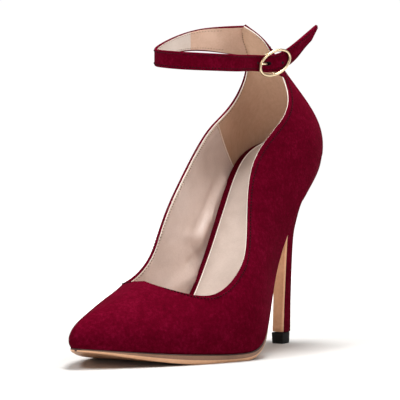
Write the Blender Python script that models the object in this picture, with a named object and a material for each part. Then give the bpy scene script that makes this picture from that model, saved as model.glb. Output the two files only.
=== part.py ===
"""Left stiletto heel shoe with an ankle strap and an oval buckle.

Sizes in the tables are millimetres: f runs forward from the back of the seat, l to the lateral side, z up.
In the scene the toe points along -Y, lateral is +X, and the origin lies on the floor under the ball.
"""
from collections import namedtuple

import bmesh
import bpy
import numpy as np

for old in list(bpy.data.objects):
    bpy.data.objects.remove(old, do_unlink=True)

MM = 0.001
BALL_F = 145.0
GAP = 0.3
WALL = 1.6

# Upper: ribs from the feather edge to the crown line of the last, cut off at the topline.
Rib = namedtuple(
    "Rib",
    "name feather lateral medial crown_f crown_l spread crown_z flare lean cut_lateral cut_medial",
)
RIBS = [
    Rib("centre back", 0, 0.0, 0.0, 60, 0.0, 0.0, 180, 60, 87, 1.00, 1.00),
    Rib("back corner", 5, 15.0, 15.5, 55, 0.0, 8.0, 179, 64, 95, 0.85, 0.87),
    Rib("heel side", 22, 26.0, 26.5, 63, 0.0, 13.0, 177, 74, 100, 0.57, 0.48),
    Rib("breast", 45, 29.5, 26.0, 84, 0.0, 14.0, 168, 79, 88, 0.48, 0.44),
    Rib("waist", 75, 30.5, 20.5, 111, 0.0, 8.0, 134, 80, 69, 0.56, 0.52),
    Rib("rear joint", 105, 41.0, 23.5, 128, 0.0, 2.0, 86, 81, 38, 0.48, 0.60),
    Rib("ball", 131, 39.0, 34.0, 139, -1.5, 5.0, 51, 69, 16, 0.70, 0.70),
    Rib("fore joint", 157, 31.0, 32.4, 151, -3.0, 0.0, 40.9, 70, 0, 1.00, 1.00),
    Rib("toe side", 181, 18.0, 23.0, 174, -1.0, 0.0, 33.6, 62, 0, 1.00, 1.00),
    Rib("toe corner", 199, 5.5, 12.0, 193, -2.5, 0.0, 27, 54, 0, 1.00, 1.00),
    Rib("toe tip", 205.2, -3.8, 3.8, 203, -3.8, 0.0, 22, 32, 0, 1.00, 1.00),
]
TIP = len(RIBS) - 1
JOIN_ROW = 5
THROAT_ROW = 7
REACH_LOW = 0.40
REACH_HIGH = 0.42
RIDGE_DROP = np.radians(24)
THROAT_POWER = {"lateral": 0.41, "medial": 0.60}

# Bottom of the last, seen from the side.
Level = namedtuple("Level", "f z")
BOTTOM = [
    Level(-8, 114.0),
    Level(0, 112.5),
    Level(20, 107.0),
    Level(40, 91.0),
    Level(60, 67.0),
    Level(80, 39.5),
    Level(100, 14.2),
    Level(112, 6.0),
    Level(124, 4.0),
    Level(136, 4.1),
    Level(148, 4.7),
    Level(162, 5.6),
    Level(185, 7.8),
    Level(212, 10.8),
]


def through(xs, rows, loop=False):
    """A cubic through the rows, natural at its ends or closed into a loop."""
    xs = np.asarray(xs, float)
    rows = np.asarray(rows, float)
    rows = rows[:, None] if rows.ndim == 1 else rows
    gap = np.diff(xs)
    last = len(xs) - 1
    size = last if loop else last + 1
    left = np.zeros((size, size))
    right = np.zeros((size, rows.shape[1]))
    for i in range(size):
        if not loop and i in (0, last):
            left[i, i] = 1
            continue
        before = gap[i - 1]
        after = gap[i % last]
        left[i, (i - 1) % size] += before
        left[i, i] += 2 * (before + after)
        left[i, (i + 1) % size] += after
        rise = (rows[(i + 1) % size if loop else i + 1] - rows[i]) / after
        fall = (rows[i] - rows[(i - 1) % size]) / before
        right[i] = 6 * (rise - fall)
    bend = np.linalg.solve(left, right)
    if loop:
        bend = np.vstack([bend, bend[:1]])

    def at(x):
        x = np.atleast_1d(np.asarray(x, float))
        i = np.clip(np.searchsorted(xs, x, side="right") - 1, 0, last - 1)
        h = gap[i][:, None]
        a = (xs[i + 1] - x)[:, None] / h
        b = 1 - a
        curve = ((a**3 - a) * bend[i] + (b**3 - b) * bend[i + 1]) * h**2 / 6
        return a * rows[i] + b * rows[i + 1] + curve

    return at


bottom_curve = through([row.f for row in BOTTOM], [row.z for row in BOTTOM])


def bottom(f):
    return bottom_curve(np.ravel(f))[:, 0].reshape(np.shape(f))


def around(column):
    """A column of the ribs as a loop: up the lateral side, back down the medial one."""
    values = [getattr(rib, column) for rib in RIBS]
    return values + values[-2::-1]


edge_l = [rib.lateral for rib in RIBS] + [-rib.medial for rib in RIBS[-2::-1]]
loop_at = through(
    range(2 * TIP + 1),
    np.c_[
        around("feather"),
        edge_l,
        around("crown_f"),
        around("crown_l"),
        around("crown_z"),
        around("flare"),
        around("lean"),
    ],
    loop=True,
)
spread_at = through(
    range(THROAT_ROW + 1), [rib.spread for rib in RIBS[: THROAT_ROW + 1]]
)

def level_off(values):
    """A curve through the values that ends level at the last of them."""
    return through(range(2 * len(values) - 1), values + values[-2::-1])


cut_at = {
    side: level_off([getattr(rib, "cut_" + side) for rib in RIBS[: JOIN_ROW + 1]])
    for side in ("lateral", "medial")
}


def feather(t):
    """Plan points of the feather edge and their outward normals; t runs 0 to 2 TIP."""
    t = np.asarray(t, float) % (2 * TIP)
    here = loop_at(t)[:, :2]
    step = 0.01
    along = loop_at((t + step) % (2 * TIP))[:, :2] - loop_at((t - step) % (2 * TIP))[:, :2]
    along /= np.linalg.norm(along, axis=1)[:, None]
    return here, np.c_[-along[:, 1], along[:, 0]]


def ribs(t, tau):
    """Points of the ribs at t, at the shares tau of each; tau has a row per rib."""
    t = np.asarray(t, float) % (2 * TIP)
    _, _, crown_f, crown_l, crown_z, flare, lean = loop_at(t).T
    plan, out = feather(t)
    side = np.minimum(t, 2 * TIP - t)
    spread = spread_at(np.minimum(side, THROAT_ROW))[:, 0] * (side < THROAT_ROW)
    crown_l = crown_l + np.where(t <= TIP, spread, -spread)
    foot = np.c_[plan, bottom(plan[:, 0])]
    crown = np.c_[crown_f, crown_l, crown_z]
    chord = np.linalg.norm(crown - foot, axis=1)[:, None]
    rise = (crown - foot) * [1, 0, 1]
    rise /= np.linalg.norm(rise, axis=1)[:, None]
    flat = np.c_[out, np.zeros(len(t))]
    ahead = np.maximum(out[:, 0], 0)
    drop = np.c_[ahead * (np.cos(RIDGE_DROP) - 1), 0 * ahead, -ahead * np.sin(RIDGE_DROP)]
    flare = np.radians(flare)[:, None]
    lean = np.radians(lean)[:, None]
    low = foot + REACH_LOW * chord * (rise * np.sin(flare) + flat * np.cos(flare))
    high = crown + REACH_HIGH * chord * ((flat + drop) * np.cos(lean) - rise * np.sin(lean))
    s = np.asarray(tau)[:, :, None]
    foot, low, high, crown = (p[:, None] for p in (foot, low, high, crown))
    return (1 - s) ** 3 * foot + 3 * (1 - s) ** 2 * s * low + 3 * (1 - s) * s**2 * high + s**3 * crown


def topline(t):
    """Share of each rib that stays below the topline: all of it in the closed vamp."""
    t = np.asarray(t, float) % (2 * TIP)
    side = np.minimum(t, 2 * TIP - t)
    left = np.clip((THROAT_ROW - side) / (THROAT_ROW - JOIN_ROW), 0, 1)
    share = {}
    for name, at in cut_at.items():
        curve = 1 - (1 - at([JOIN_ROW])[0, 0]) * (left * (2 - left)) ** THROAT_POWER[name]
        share[name] = np.where(side <= JOIN_ROW, at(np.minimum(side, JOIN_ROW))[:, 0], curve)
    return np.where(t <= TIP, share["lateral"], share["medial"])


def place(points):
    """Table sizes to scene metres."""
    points = np.asarray(points, float)
    return np.stack([points[..., 1], BALL_F - points[..., 0], points[..., 2]], -1) * MM


def material(name, colour, roughness, metallic=0.0):
    made = bpy.data.materials.new(name)
    made.use_nodes = True
    shader = made.node_tree.nodes["Principled BSDF"]
    shader.inputs["Base Color"].default_value = (*colour, 1.0)
    shader.inputs["Roughness"].default_value = roughness
    shader.inputs["Metallic"].default_value = metallic
    return made


SUEDE = material("burgundy_suede", (0.115, 0.004, 0.018), 0.85)
TAN = material("tan_leather", (0.50, 0.29, 0.16), 0.50)
BLACK = material("black_rubber", (0.012, 0.012, 0.013), 0.60)
BOARD = material("burgundy_board", (0.085, 0.004, 0.014), 0.80)
GOLD = material("pale_gold", (0.80, 0.62, 0.36), 0.22, 1.0)


def solid(name, points, faces, look, smooth=True):
    """A mesh object from table points, with its faces turned outward."""
    mesh = bpy.data.meshes.new(name)
    mesh.from_pydata([tuple(p) for p in place(points)], [], faces)
    shape = bmesh.new()
    shape.from_mesh(mesh)
    bmesh.ops.recalc_face_normals(shape, faces=shape.faces)
    shape.to_mesh(mesh)
    shape.free()
    for face in mesh.polygons:
        face.use_smooth = smooth
    made = bpy.data.objects.new(name, mesh)
    bpy.context.scene.collection.objects.link(made)
    mesh.materials.append(look)
    return made


def tube(rings, caps=True):
    """Points and faces of closed rings joined one after another."""
    count = len(rings[0])
    points = [p for ring in rings for p in ring]
    faces = []
    for i in range(len(rings) - 1):
        for j in range(count):
            k = (j + 1) % count
            faces.append((i * count + j, i * count + k, (i + 1) * count + k, (i + 1) * count + j))
    if caps:
        faces.append(tuple(range(count))[::-1])
        faces.append(tuple((len(rings) - 1) * count + j for j in range(count)))
    return points, faces


# Upper

BACK_COLUMNS = 25
THROAT_COLUMNS = 12
VAMP_COLUMNS = 12
UPPER_ROWS = 14


def upper_columns():
    """Rib positions, close together where the throat turns across the vamp."""
    back = np.linspace(0, JOIN_ROW, BACK_COLUMNS)[:-1]
    turn = THROAT_ROW - (THROAT_ROW - JOIN_ROW) * np.linspace(1, 0, THROAT_COLUMNS + 1)[:-1] ** 1.6
    vamp = np.linspace(THROAT_ROW, TIP, VAMP_COLUMNS + 1)
    half = np.concatenate([back, turn, vamp])
    return np.concatenate([half, 2 * TIP - half[-2:0:-1]])


def upper_skin():
    t = upper_columns()
    count = len(t)
    share = np.linspace(0, 1, UPPER_ROWS + 1)
    grid = ribs(t, topline(t)[:, None] * share[None])
    points = []
    index = {}
    for j in range(count):
        closed = min(t[j], 2 * TIP - t[j]) >= THROAT_ROW
        for i in range(UPPER_ROWS + 1):
            mirror = (count - j) % count
            if i == UPPER_ROWS and closed and mirror < j:
                index[j, i] = index[mirror, i]
                continue
            index[j, i] = len(points)
            points.append(grid[j, i])
    faces = []
    for j in range(count):
        k = (j + 1) % count
        for i in range(UPPER_ROWS):
            face = (index[j, i], index[k, i], index[k, i + 1], index[j, i + 1])
            faces.append(tuple(dict.fromkeys(face)))
    return points, faces


def build_upper():
    points, faces = upper_skin()
    made = solid("upper", points, faces, SUEDE)
    wall = made.modifiers.new("wall", "SOLIDIFY")
    wall.thickness = WALL * MM
    wall.offset = -1
    wall.use_even_offset = True
    wall.thickness_clamp = 0
    return made


# Insole: a board between the walls

INSOLE_THICK = 2.0
INSOLE_BACK = 3.0
INSOLE_FRONT = 197.0
INSOLE_STATIONS = 46
INSOLE_INSET = WALL + 0.55
INSOLE_ACROSS = 4

half_t = np.linspace(0, TIP, 400)
lateral_edge, lateral_out = feather(half_t)
medial_edge, medial_out = feather(2 * TIP - half_t)


def edge_at(f, side, inset):
    """Where the feather edge, moved in by inset, crosses forward distance f."""
    edge, out = (lateral_edge, lateral_out) if side == "lateral" else (medial_edge, medial_out)
    moved = edge - inset * out
    order = np.argsort(moved[:, 0])
    return np.interp(f, moved[order, 0], moved[order, 1])


def slope_normal(f):
    """Upward normal of the bottom profile, as its forward and upward parts."""
    step = 0.5
    fall = (bottom(f + step) - bottom(f - step)) / (2 * step)
    size = np.hypot(fall, 1)
    return -fall / size, 1 / size


def build_insole():
    rings = []
    ends = 0.5 - 0.5 * np.cos(np.linspace(0, np.pi, INSOLE_STATIONS))
    blend = 0.5 * ends + 0.5 * np.linspace(0, 1, INSOLE_STATIONS)
    for f in INSOLE_BACK + (INSOLE_FRONT - INSOLE_BACK) * blend:
        out_l = edge_at(f, "lateral", INSOLE_INSET)
        in_l = edge_at(f, "medial", INSOLE_INSET)
        lift_f, lift_z = slope_normal(f)
        across = np.linspace(in_l, out_l, INSOLE_ACROSS)
        low = [(f, l, bottom(f)) for l in across]
        top_f = f + INSOLE_THICK * lift_f
        top_z = bottom(f) + INSOLE_THICK * lift_z
        high = [(top_f, l, top_z) for l in across[::-1]]
        rings.append(low + high)
    points, faces = tube(rings)
    return solid("insole", points, faces, BOARD)


# Heel: D sections from the top piece to the seat

Section = namedtuple("Section", "back_f back_z breast_f breast_z lateral medial seat")
HEEL = [
    Section(15.0, 6.8, 26.0, 6.8, 3.6, 3.6, 0.0),
    Section(14.5, 30.0, 24.8, 30.0, 3.8, 3.8, 0.0),
    Section(13.3, 58.0, 24.0, 55.0, 4.7, 4.7, 0.0),
    Section(11.0, 70.5, 25.0, 64.0, 6.2, 6.2, 0.0),
    Section(8.8, 79.0, 27.2, 71.0, 8.8, 8.7, 0.05),
    Section(5.8, 87.0, 31.0, 76.0, 12.8, 12.5, 0.15),
    Section(2.4, 96.0, 36.0, 79.5, 19.0, 18.4, 0.35),
    Section(0.2, 104.5, 40.5, 82.3, 25.2, 23.4, 0.65),
    Section(0.2, 111.9, 44.6, 85.6, 29.0, 25.8, 1.0),
]
HEEL_RINGS = 25
HEEL_ROUND = 13
ROUND_POWER = 2.3
SEAT_GAP = GAP
SEAT_IN = HEEL[-1].back_f


def heel_ring(row, knots=HEEL_ROUND):
    """One D section: round at the back, flat at the breast, its top rings bent to the seat."""
    angle = np.linspace(-np.pi / 2, np.pi / 2, 2 * knots - 1)
    share = 1 - np.abs(np.cos(angle)) ** (2 / ROUND_POWER)
    wide = np.sign(np.sin(angle)) * np.abs(np.sin(angle)) ** (2 / ROUND_POWER)
    f = row.back_f + (row.breast_f - row.back_f) * share
    l = np.where(wide > 0, row.lateral, row.medial) * wide
    line = row.back_z + (row.breast_z - row.back_z) * share
    seat_f = HEEL[-1].back_f + (HEEL[-1].breast_f - HEEL[-1].back_f) * share
    straight = HEEL[-1].back_z + (HEEL[-1].breast_z - HEEL[-1].back_z) * share
    full_l = np.where(wide > 0, HEEL[-1].lateral, HEEL[-1].medial) * wide
    seat_l = np.where(wide > 0, edge_at(seat_f, "lateral", SEAT_IN), edge_at(seat_f, "medial", SEAT_IN))
    l = l + row.seat * (seat_l - full_l)
    lift_f, lift_z = slope_normal(seat_f)
    z = line + row.seat * (bottom(seat_f) - SEAT_GAP / lift_z - straight)
    return np.c_[f, l, z]


def heel_rows(count):
    numbers = through(np.arange(len(HEEL)), np.array(HEEL, float))
    return [Section(*numbers([u])[0]) for u in np.linspace(0, len(HEEL) - 1, count)]


def build_heel():
    points, faces = tube([heel_ring(row) for row in heel_rows(HEEL_RINGS)])
    return solid("heel", points, faces, SUEDE)



# Top piece

TOP_HEIGHT = 6.5
TOP_INSET = 0.7
TOP_DRAFT = 0.25


def build_top_piece():
    """A D block a little inside the heel, under the sole's strip as well."""
    tip = HEEL[0]
    front = tip.breast_f + GAP + STRIP_THICK
    rings = []
    for z, draft in ((0.0, TOP_DRAFT), (TOP_HEIGHT, 0.0)):
        inset = TOP_INSET + draft
        row = tip._replace(
            back_f=tip.back_f + inset,
            breast_f=front - draft,
            back_z=z,
            breast_z=z,
            lateral=tip.lateral - draft,
            medial=tip.medial - draft,
        )
        rings.append(heel_ring(row))
    points, faces = tube(rings)
    return solid("top_piece", points, faces, BLACK)


# Outsole: forepart, arch, and the strip down the breast of the heel

Tread = namedtuple("Tread", "f thick outset")
STRIP_THICK = 1.3
STRIP_INSET = 0.1
SEAT_INSET = 1.4
TREAD = [
    Tread(44, 1.4, -1.6),
    Tread(60, 1.7, -1.8),
    Tread(80, 2.2, -1.6),
    Tread(95, 2.0, -0.9),
    Tread(106, 2.5, 0.2),
    Tread(118, 3.8, 0.8),
    Tread(132, 4.2, 1.0),
    Tread(148, 4.6, 1.0),
    Tread(160, 4.4, 1.0),
    Tread(172, 3.7, 0.9),
    Tread(185, 2.5, 0.7),
    Tread(198, 1.3, 0.4),
    Tread(210, 0.9, 0.3),
]
TREAD_STATIONS = 46
STRIP_STATIONS = 20
SHANK_END = 49.5
TOE_END = 205.45
BEVEL = 1.0
BEVEL_SHARE = 0.55
tread_at = through([row.f for row in TREAD], [(row.thick, row.outset) for row in TREAD])


def outsole_spine():
    """Side view points where the sole is bonded, with thickness and both edges at each."""
    ease = np.sin(np.linspace(0, np.pi / 2, TREAD_STATIONS)) ** 0.9
    rows = []
    for f in TOE_END + (SHANK_END - TOE_END) * (1 - ease[::-1]):
        thick, outset = tread_at([f])[0]
        lift_f, lift_z = slope_normal(f)
        lateral = edge_at(f, "lateral", -outset)
        medial = edge_at(f, "medial", -outset)
        rows.append((f - GAP * lift_f, bottom(f) - GAP * lift_z, thick, lateral, medial))
    for row in heel_rows(STRIP_STATIONS)[::-1][1:]:
        inset = STRIP_INSET + SEAT_INSET * row.seat
        lateral = row.lateral - inset
        medial = inset - row.medial
        rows.append((row.breast_f + GAP, row.breast_z - GAP * row.seat, STRIP_THICK, lateral, medial))
    return np.array(rows, float)


def build_outsole():
    rows = outsole_spine()
    along = np.gradient(rows[:, :2], axis=0)
    along /= np.linalg.norm(along, axis=1)[:, None]
    down = np.c_[-along[:, 1], along[:, 0]]
    rings = []
    for (f, z, thick, lateral, medial), (down_f, down_z) in zip(rows, down):
        bevel = min(BEVEL, 0.3 * thick)

        def under(share, l):
            return (f + share * thick * down_f, l, max(z + share * thick * down_z, 0.0))

        rings.append(
            [
                (f, medial, z),
                (f, lateral, z),
                under(BEVEL_SHARE, lateral),
                under(1, lateral - bevel),
                under(1, medial + bevel),
                under(BEVEL_SHARE, medial),
            ]
        )
    points, faces = tube(rings)
    return solid("outsole", points, faces, TAN)


# Ankle strap: stations along its middle, with the step from the middle to the top edge

Station = namedtuple("Station", "name f l z up_f up_l up_z")
STRAP_THICK = 1.8
STRAP_HALF = 4.5
STRAP_STEPS = 6
BUCKLE = np.array([69.7, 23.9, 156.9])
HEADING = np.radians(24)
CLIMB = np.radians(8)
SWING = np.radians(20)
TAIL_SLANT = 7.0
TAIL_BLUNT = 0.35
ROOT_T = (0.06, 1.16)
ROOT_GAP = 0.6
ROOT_FADE = 18.0
STRAP_COLUMNS = 5


def axes(climb):
    """Directions at the buckle: along to the tail, across to the top edge, and outward."""
    level = np.array([np.cos(HEADING), -np.sin(HEADING), 0.0])
    tall = np.array([0.0, 0.0, 1.0])
    face = np.array([np.sin(HEADING), np.cos(HEADING), 0.0])
    tail = np.sin(climb) * tall - np.cos(climb) * level
    across = np.cos(climb) * tall + np.sin(climb) * level
    return tail, across, face


STRAP_TAIL, STRAP_ACROSS, FACE = axes(CLIMB)
TAIL, ACROSS, _ = axes(CLIMB + SWING)


def at_strap(along, across=0.0, out=0.0):
    """A point by its steps from the buckle's middle: to the tail, to the strap's top edge, outward."""
    return BUCKLE + along * STRAP_TAIL + across * STRAP_ACROSS + out * FACE


def at_buckle(along, across=0.0, out=0.0):
    """The same along the ring's own axes, which swing up from the strap's."""
    return BUCKLE + along * TAIL + across * ACROSS + out * FACE


def buckle_station(name, along, across, turn, half):
    """A strap station under the ring, turned in its plane."""
    turn = np.radians(turn)
    up = np.cos(turn) * STRAP_ACROSS - np.sin(turn) * STRAP_TAIL
    return Station(name, *at_strap(along, across), *(half * up))


def neck_edge(side, near, far, count):
    """Points up a stretch of the high back's edge, half a wall in, with directions outward and off it."""
    where = np.linspace(far, near, count)
    t = where if side == "lateral" else 2 * TIP - where
    step = 0.02
    here = ribs(t, topline(t)[:, None])[:, 0]
    below = ribs(t, topline(t)[:, None] - step)[:, 0]
    along = ribs(t + step, topline(t + step)[:, None])[:, 0] - ribs(t - step, topline(t - step)[:, None])[:, 0]
    along /= np.linalg.norm(along, axis=1)[:, None]
    off = here - below
    off -= (off * along).sum(axis=1)[:, None] * along
    off /= np.linalg.norm(off, axis=1)[:, None]
    out = np.cross(off, along)
    return here - WALL / 2 * out, out, off


root_row, root_out, root_off = neck_edge("medial", *ROOT_T, STRAP_COLUMNS)
root_row = root_row + ROOT_GAP * root_off


STRAP = [
    Station("root", *(root_row[0] + root_row[-1]) / 2, *(root_row[-1] - root_row[0]) / 2),
    Station("medial back", 68.5, -21.8, 172.2, 1.0, 0.4, 6.4),
    Station("medial", 92.0, -28.0, 167.1, 0.0, 0.0, 4.6),
    Station("medial front", 110.5, -25.0, 160.3, 0.0, 0.0, 4.7),
    Station("front medial", 121.5, -12.5, 157.3, 0.0, 0.0, 4.7),
    Station("front", 123.0, 3.0, 155.5, 0.0, 0.0, 4.7),
    Station("front lateral", 114.0, 15.5, 154.8, 0.0, 0.0, 4.6),
    Station("lateral", 97.0, 21.0, 155.2, 0.0, 0.0, 4.5),
    buckle_station("before buckle", -10.0, 0.9, -6.0, STRAP_HALF),
    buckle_station("buckle", 0.0, -0.1, 2.0, 4.7),
    buckle_station("past buckle", 9.0, 2.0, 25.0, 4.3),
    Station("tail", 49.5, 30.0, 168.7, 3.1, 1.2, 2.7),
    Station("tail end", 36.7, 32.0, 177.6, 2.6, 1.2, 2.1),
]


def strap_rows(steps=STRAP_STEPS):
    """Middle, half width and outward direction of the strap, step by step."""
    knots = np.array([row[1:] for row in STRAP], float)
    size = np.linalg.norm(np.diff(knots[:, :3], axis=0), axis=1)
    length = np.concatenate([[0], np.cumsum(size)])
    curve = through(length, knots)
    where = np.concatenate(
        [np.linspace(a, b, steps, endpoint=False) for a, b in zip(length[:-1], length[1:])]
        + [length[-1:]]
    )
    rows = curve(where)
    along = (curve(where + 0.05) - curve(where - 0.05))[:, :3]
    out = np.cross(along, rows[:, 3:])
    out /= np.linalg.norm(out, axis=1)[:, None]
    return where, rows[:, :3], rows[:, 3:], out * np.sign(out[-1] @ FACE), along


def build_strap():
    """A flat band: its root follows the edge of the high back, its tail is cut on a slant."""
    where, middle, up, out, along = strap_rows()
    slant = np.clip((where - where[-1] + TAIL_SLANT) / TAIL_SLANT, 0, 1)
    fade = np.clip(1 - where / ROOT_FADE, 0, 1) ** 2
    wide = np.linspace(-1, 1, STRAP_COLUMNS)[:, None]
    bow = root_row - (middle[0] + wide * up[0])
    rings = []
    for p, half, face, cut_back, near in zip(middle, up, out, slant, fade):
        raised = wide + (1 - TAIL_BLUNT) * cut_back * (1 - wide)
        row = p + raised * half + near * bow
        skin = (1 - near) * face + near * root_out
        skin *= STRAP_THICK / 2 / np.linalg.norm(skin, axis=1)[:, None]
        rings.append(np.vstack([row - skin, (row + skin)[::-1]]))
    points, faces = tube(rings, caps=False)
    for start in (0, len(points) - 2 * STRAP_COLUMNS):
        for j in range(STRAP_COLUMNS - 1):
            far = 2 * STRAP_COLUMNS - 1 - j
            faces.append((start + j, start + j + 1, start + far - 1, start + far))
    made = solid("ankle_strap", points, faces, SUEDE)
    cut_hole(made)
    return made


PRONG_HOLE = (-3.9, 2.2, 1.1)
HOLE_POINTS = 14


def cutter(name, points, faces):
    made = solid(name, points, faces, BLACK, smooth=False)
    made.hide_render = True
    made.display_type = "WIRE"
    return made


def cut(target, tool):
    step = target.modifiers.new("cut", "BOOLEAN")
    step.operation = "DIFFERENCE"
    step.solver = "EXACT"
    step.object = tool


def cut_hole(strap):
    """The oval hole that the prong goes through."""
    centre, long, short = PRONG_HOLE
    turn = np.linspace(0, 2 * np.pi, HOLE_POINTS, endpoint=False)
    rings = [
        [at_strap(centre + long * np.cos(a), short * np.sin(a), out) for a in turn]
        for out in (-STRAP_THICK, STRAP_THICK)
    ]
    cut(strap, cutter("prong_hole", *tube(rings)))


# Buckle: oval ring, set-back bar, prong

FRAME_LONG = 10.4
FRAME_SHORT = 5.9
FRAME_WIRE = 0.8
FRAME_OUT = STRAP_THICK / 2 + GAP + FRAME_WIRE
BAR_OUT = -3.5
BAR_WIRE = 0.7
WIRE_SIDES = 8
FRAME_STEPS = 40
PRONG_WIRE = 0.6
PRONG_LOOP = BAR_WIRE + 1.5 * GAP + PRONG_WIRE


def wire(path, radius, closed=False, taper=None):
    """Rings of a round wire along a path."""
    path = np.asarray(path, float)
    if closed:
        along = np.roll(path, -1, axis=0) - np.roll(path, 1, axis=0)
    else:
        along = np.gradient(path, axis=0)
    along /= np.linalg.norm(along, axis=1)[:, None]
    rings = []
    side = np.cross(along[0], FACE if abs(along[0] @ FACE) < 0.9 else TAIL)
    for i, (p, way) in enumerate(zip(path, along)):
        side = side - (side @ way) * way
        side /= np.linalg.norm(side)
        other = np.cross(way, side)
        size = radius if taper is None else radius * taper[i]
        turn = np.linspace(0, 2 * np.pi, WIRE_SIDES, endpoint=False)
        rings.append([p + size * (np.cos(a) * side + np.sin(a) * other) for a in turn])
    return rings


def build_frame():
    turn = np.linspace(0, 2 * np.pi, FRAME_STEPS, endpoint=False)
    oval = [at_buckle(FRAME_LONG * np.cos(a), FRAME_SHORT * np.sin(a), FRAME_OUT) for a in turn]
    rings = wire(oval, FRAME_WIRE, closed=True)
    points, faces = tube(rings + rings[:1], caps=False)
    count = len(rings) * WIRE_SIDES
    faces = [tuple(v % count for v in face) for face in faces]
    made = solid("buckle_frame", points[:count], faces, GOLD)
    corner = 1.2
    path = [
        at_buckle(0, FRAME_SHORT, FRAME_OUT),
        at_buckle(0, FRAME_SHORT, BAR_OUT + corner),
        at_buckle(0, FRAME_SHORT - 0.35 * corner, BAR_OUT + 0.35 * corner),
        at_buckle(0, FRAME_SHORT - corner, BAR_OUT),
        at_buckle(0, corner - FRAME_SHORT, BAR_OUT),
        at_buckle(0, 0.35 * corner - FRAME_SHORT, BAR_OUT + 0.35 * corner),
        at_buckle(0, -FRAME_SHORT, BAR_OUT + corner),
        at_buckle(0, -FRAME_SHORT, FRAME_OUT),
    ]
    points, faces = tube(wire(path, BAR_WIRE))
    bar = cutter("buckle_bar", points, faces)
    join = made.modifiers.new("bar", "BOOLEAN")
    join.operation = "UNION"
    join.solver = "EXACT"
    join.object = bar
    return made


Bend = namedtuple("Bend", "along out")
PRONG = [
    Bend(-2.3, -2.4),
    Bend(-3.6, -0.9),
    Bend(-5.0, 0.9),
    Bend(-6.2, 2.3),
    Bend(-7.7, 3.3),
    Bend(-10.2, 3.9),
]
PRONG_STEPS = 14


def build_prong():
    """A wire curled round the bar, through the strap and onto the end of the ring."""
    turn = np.radians(np.linspace(440, 180, PRONG_STEPS))
    curl = [(PRONG_LOOP * np.cos(a), BAR_OUT + PRONG_LOOP * np.sin(a)) for a in turn]
    shank = through(range(len(PRONG) + 1), curl[-1:] + [tuple(row) for row in PRONG])
    rest = shank(np.linspace(0, len(PRONG), 13)[1:])
    path = np.vstack([curl, rest])
    taper = np.concatenate([np.ones(len(path) - 5), [0.97, 0.93, 0.88, 0.82, 0.6]])
    rings = wire([at_strap(a, 0, o) for a, o in path], PRONG_WIRE, taper=taper)
    points, faces = tube(rings)
    return solid("buckle_prong", points, faces, GOLD)


# Buckle tab: from the lateral edge of the high back, hooked round the bar

TAB_THICK = 0.9
TAB_HALF = 3.7
TAB_LOOP = BAR_WIRE + GAP + TAB_THICK / 2
TAB_EDGE_T = (1.20, 1.72)
TAB_STEPS = 12
TAB_SLOT = 1.25
NECK_GAP = 0.5


def build_tab():
    edge, _, _ = neck_edge("lateral", *TAB_EDGE_T, 2)
    neck = edge.mean(axis=0)
    neck_half = (edge[1] - edge[0]) / 2
    bar = at_buckle(0, 0, BAR_OUT)
    pull = neck - bar
    lean = np.arctan2(pull @ FACE, pull @ TAIL)
    turn = np.linspace(np.radians(20), 2 * np.pi + lean - np.pi / 2, TAB_STEPS)
    path = []
    for a in turn:
        step = np.cos(a) * TAIL + np.sin(a) * FACE
        path.append((bar + TAB_LOOP * step, TAB_HALF * ACROSS, step))
    leave, half, skin = path[-1]
    way = neck - leave
    reach = np.linalg.norm(way) - NECK_GAP
    way /= np.linalg.norm(way)
    for share in (0.33, 0.66, 1.0):
        p = leave + way * reach * share
        turned = half + (neck_half - half) * share
        face = np.cross(way, turned)
        face *= np.sign(face @ skin) / np.linalg.norm(face)
        path.append((p, turned, face))
    rings = []
    for p, half, face in path:
        skin = TAB_THICK / 2 * face
        rings.append([p - half - skin, p + half - skin, p + half + skin, p - half + skin])
    points, faces = tube(rings)
    made = solid("buckle_tab", points, faces, SUEDE)
    box = [
        [at_strap(a, u, o) for a, o in ((-4, -7), (2.2, -7), (2.2, -1), (-4, -1))]
        for u in (-TAB_SLOT, TAB_SLOT)
    ]
    cut(made, cutter("tab_slot", *tube(box)))
    return made


build_upper()
build_insole()
build_heel()
build_top_piece()
build_outsole()
build_strap()
build_frame()
build_prong()
build_tab()
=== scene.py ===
"""Looks of the left stiletto heel shoe with an ankle strap and an oval buckle.

Sizes in the tables are millimetres: f runs forward from the back of the seat, l to the lateral side, z up.
In the scene the toe points along -Y, lateral is +X, and the origin lies on the floor under the ball.
"""
from collections import namedtuple

import bmesh
import bpy
import numpy as np
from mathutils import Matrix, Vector


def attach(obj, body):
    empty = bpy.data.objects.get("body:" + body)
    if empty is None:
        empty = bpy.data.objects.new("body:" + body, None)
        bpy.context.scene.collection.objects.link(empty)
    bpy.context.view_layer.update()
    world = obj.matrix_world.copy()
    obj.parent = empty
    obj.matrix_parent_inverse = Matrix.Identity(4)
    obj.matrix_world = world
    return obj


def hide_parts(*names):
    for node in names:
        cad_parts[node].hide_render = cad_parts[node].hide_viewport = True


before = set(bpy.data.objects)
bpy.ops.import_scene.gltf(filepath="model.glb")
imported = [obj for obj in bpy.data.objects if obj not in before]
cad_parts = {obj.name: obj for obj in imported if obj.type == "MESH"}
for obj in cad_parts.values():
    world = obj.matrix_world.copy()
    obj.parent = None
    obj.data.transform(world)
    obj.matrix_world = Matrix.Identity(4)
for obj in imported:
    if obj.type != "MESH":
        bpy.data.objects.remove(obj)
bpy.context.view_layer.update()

MM = 0.001
BALL_F = 145.0
GAP = 0.3
WALL = 1.6

# Form of the shoe, as in its solids

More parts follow.
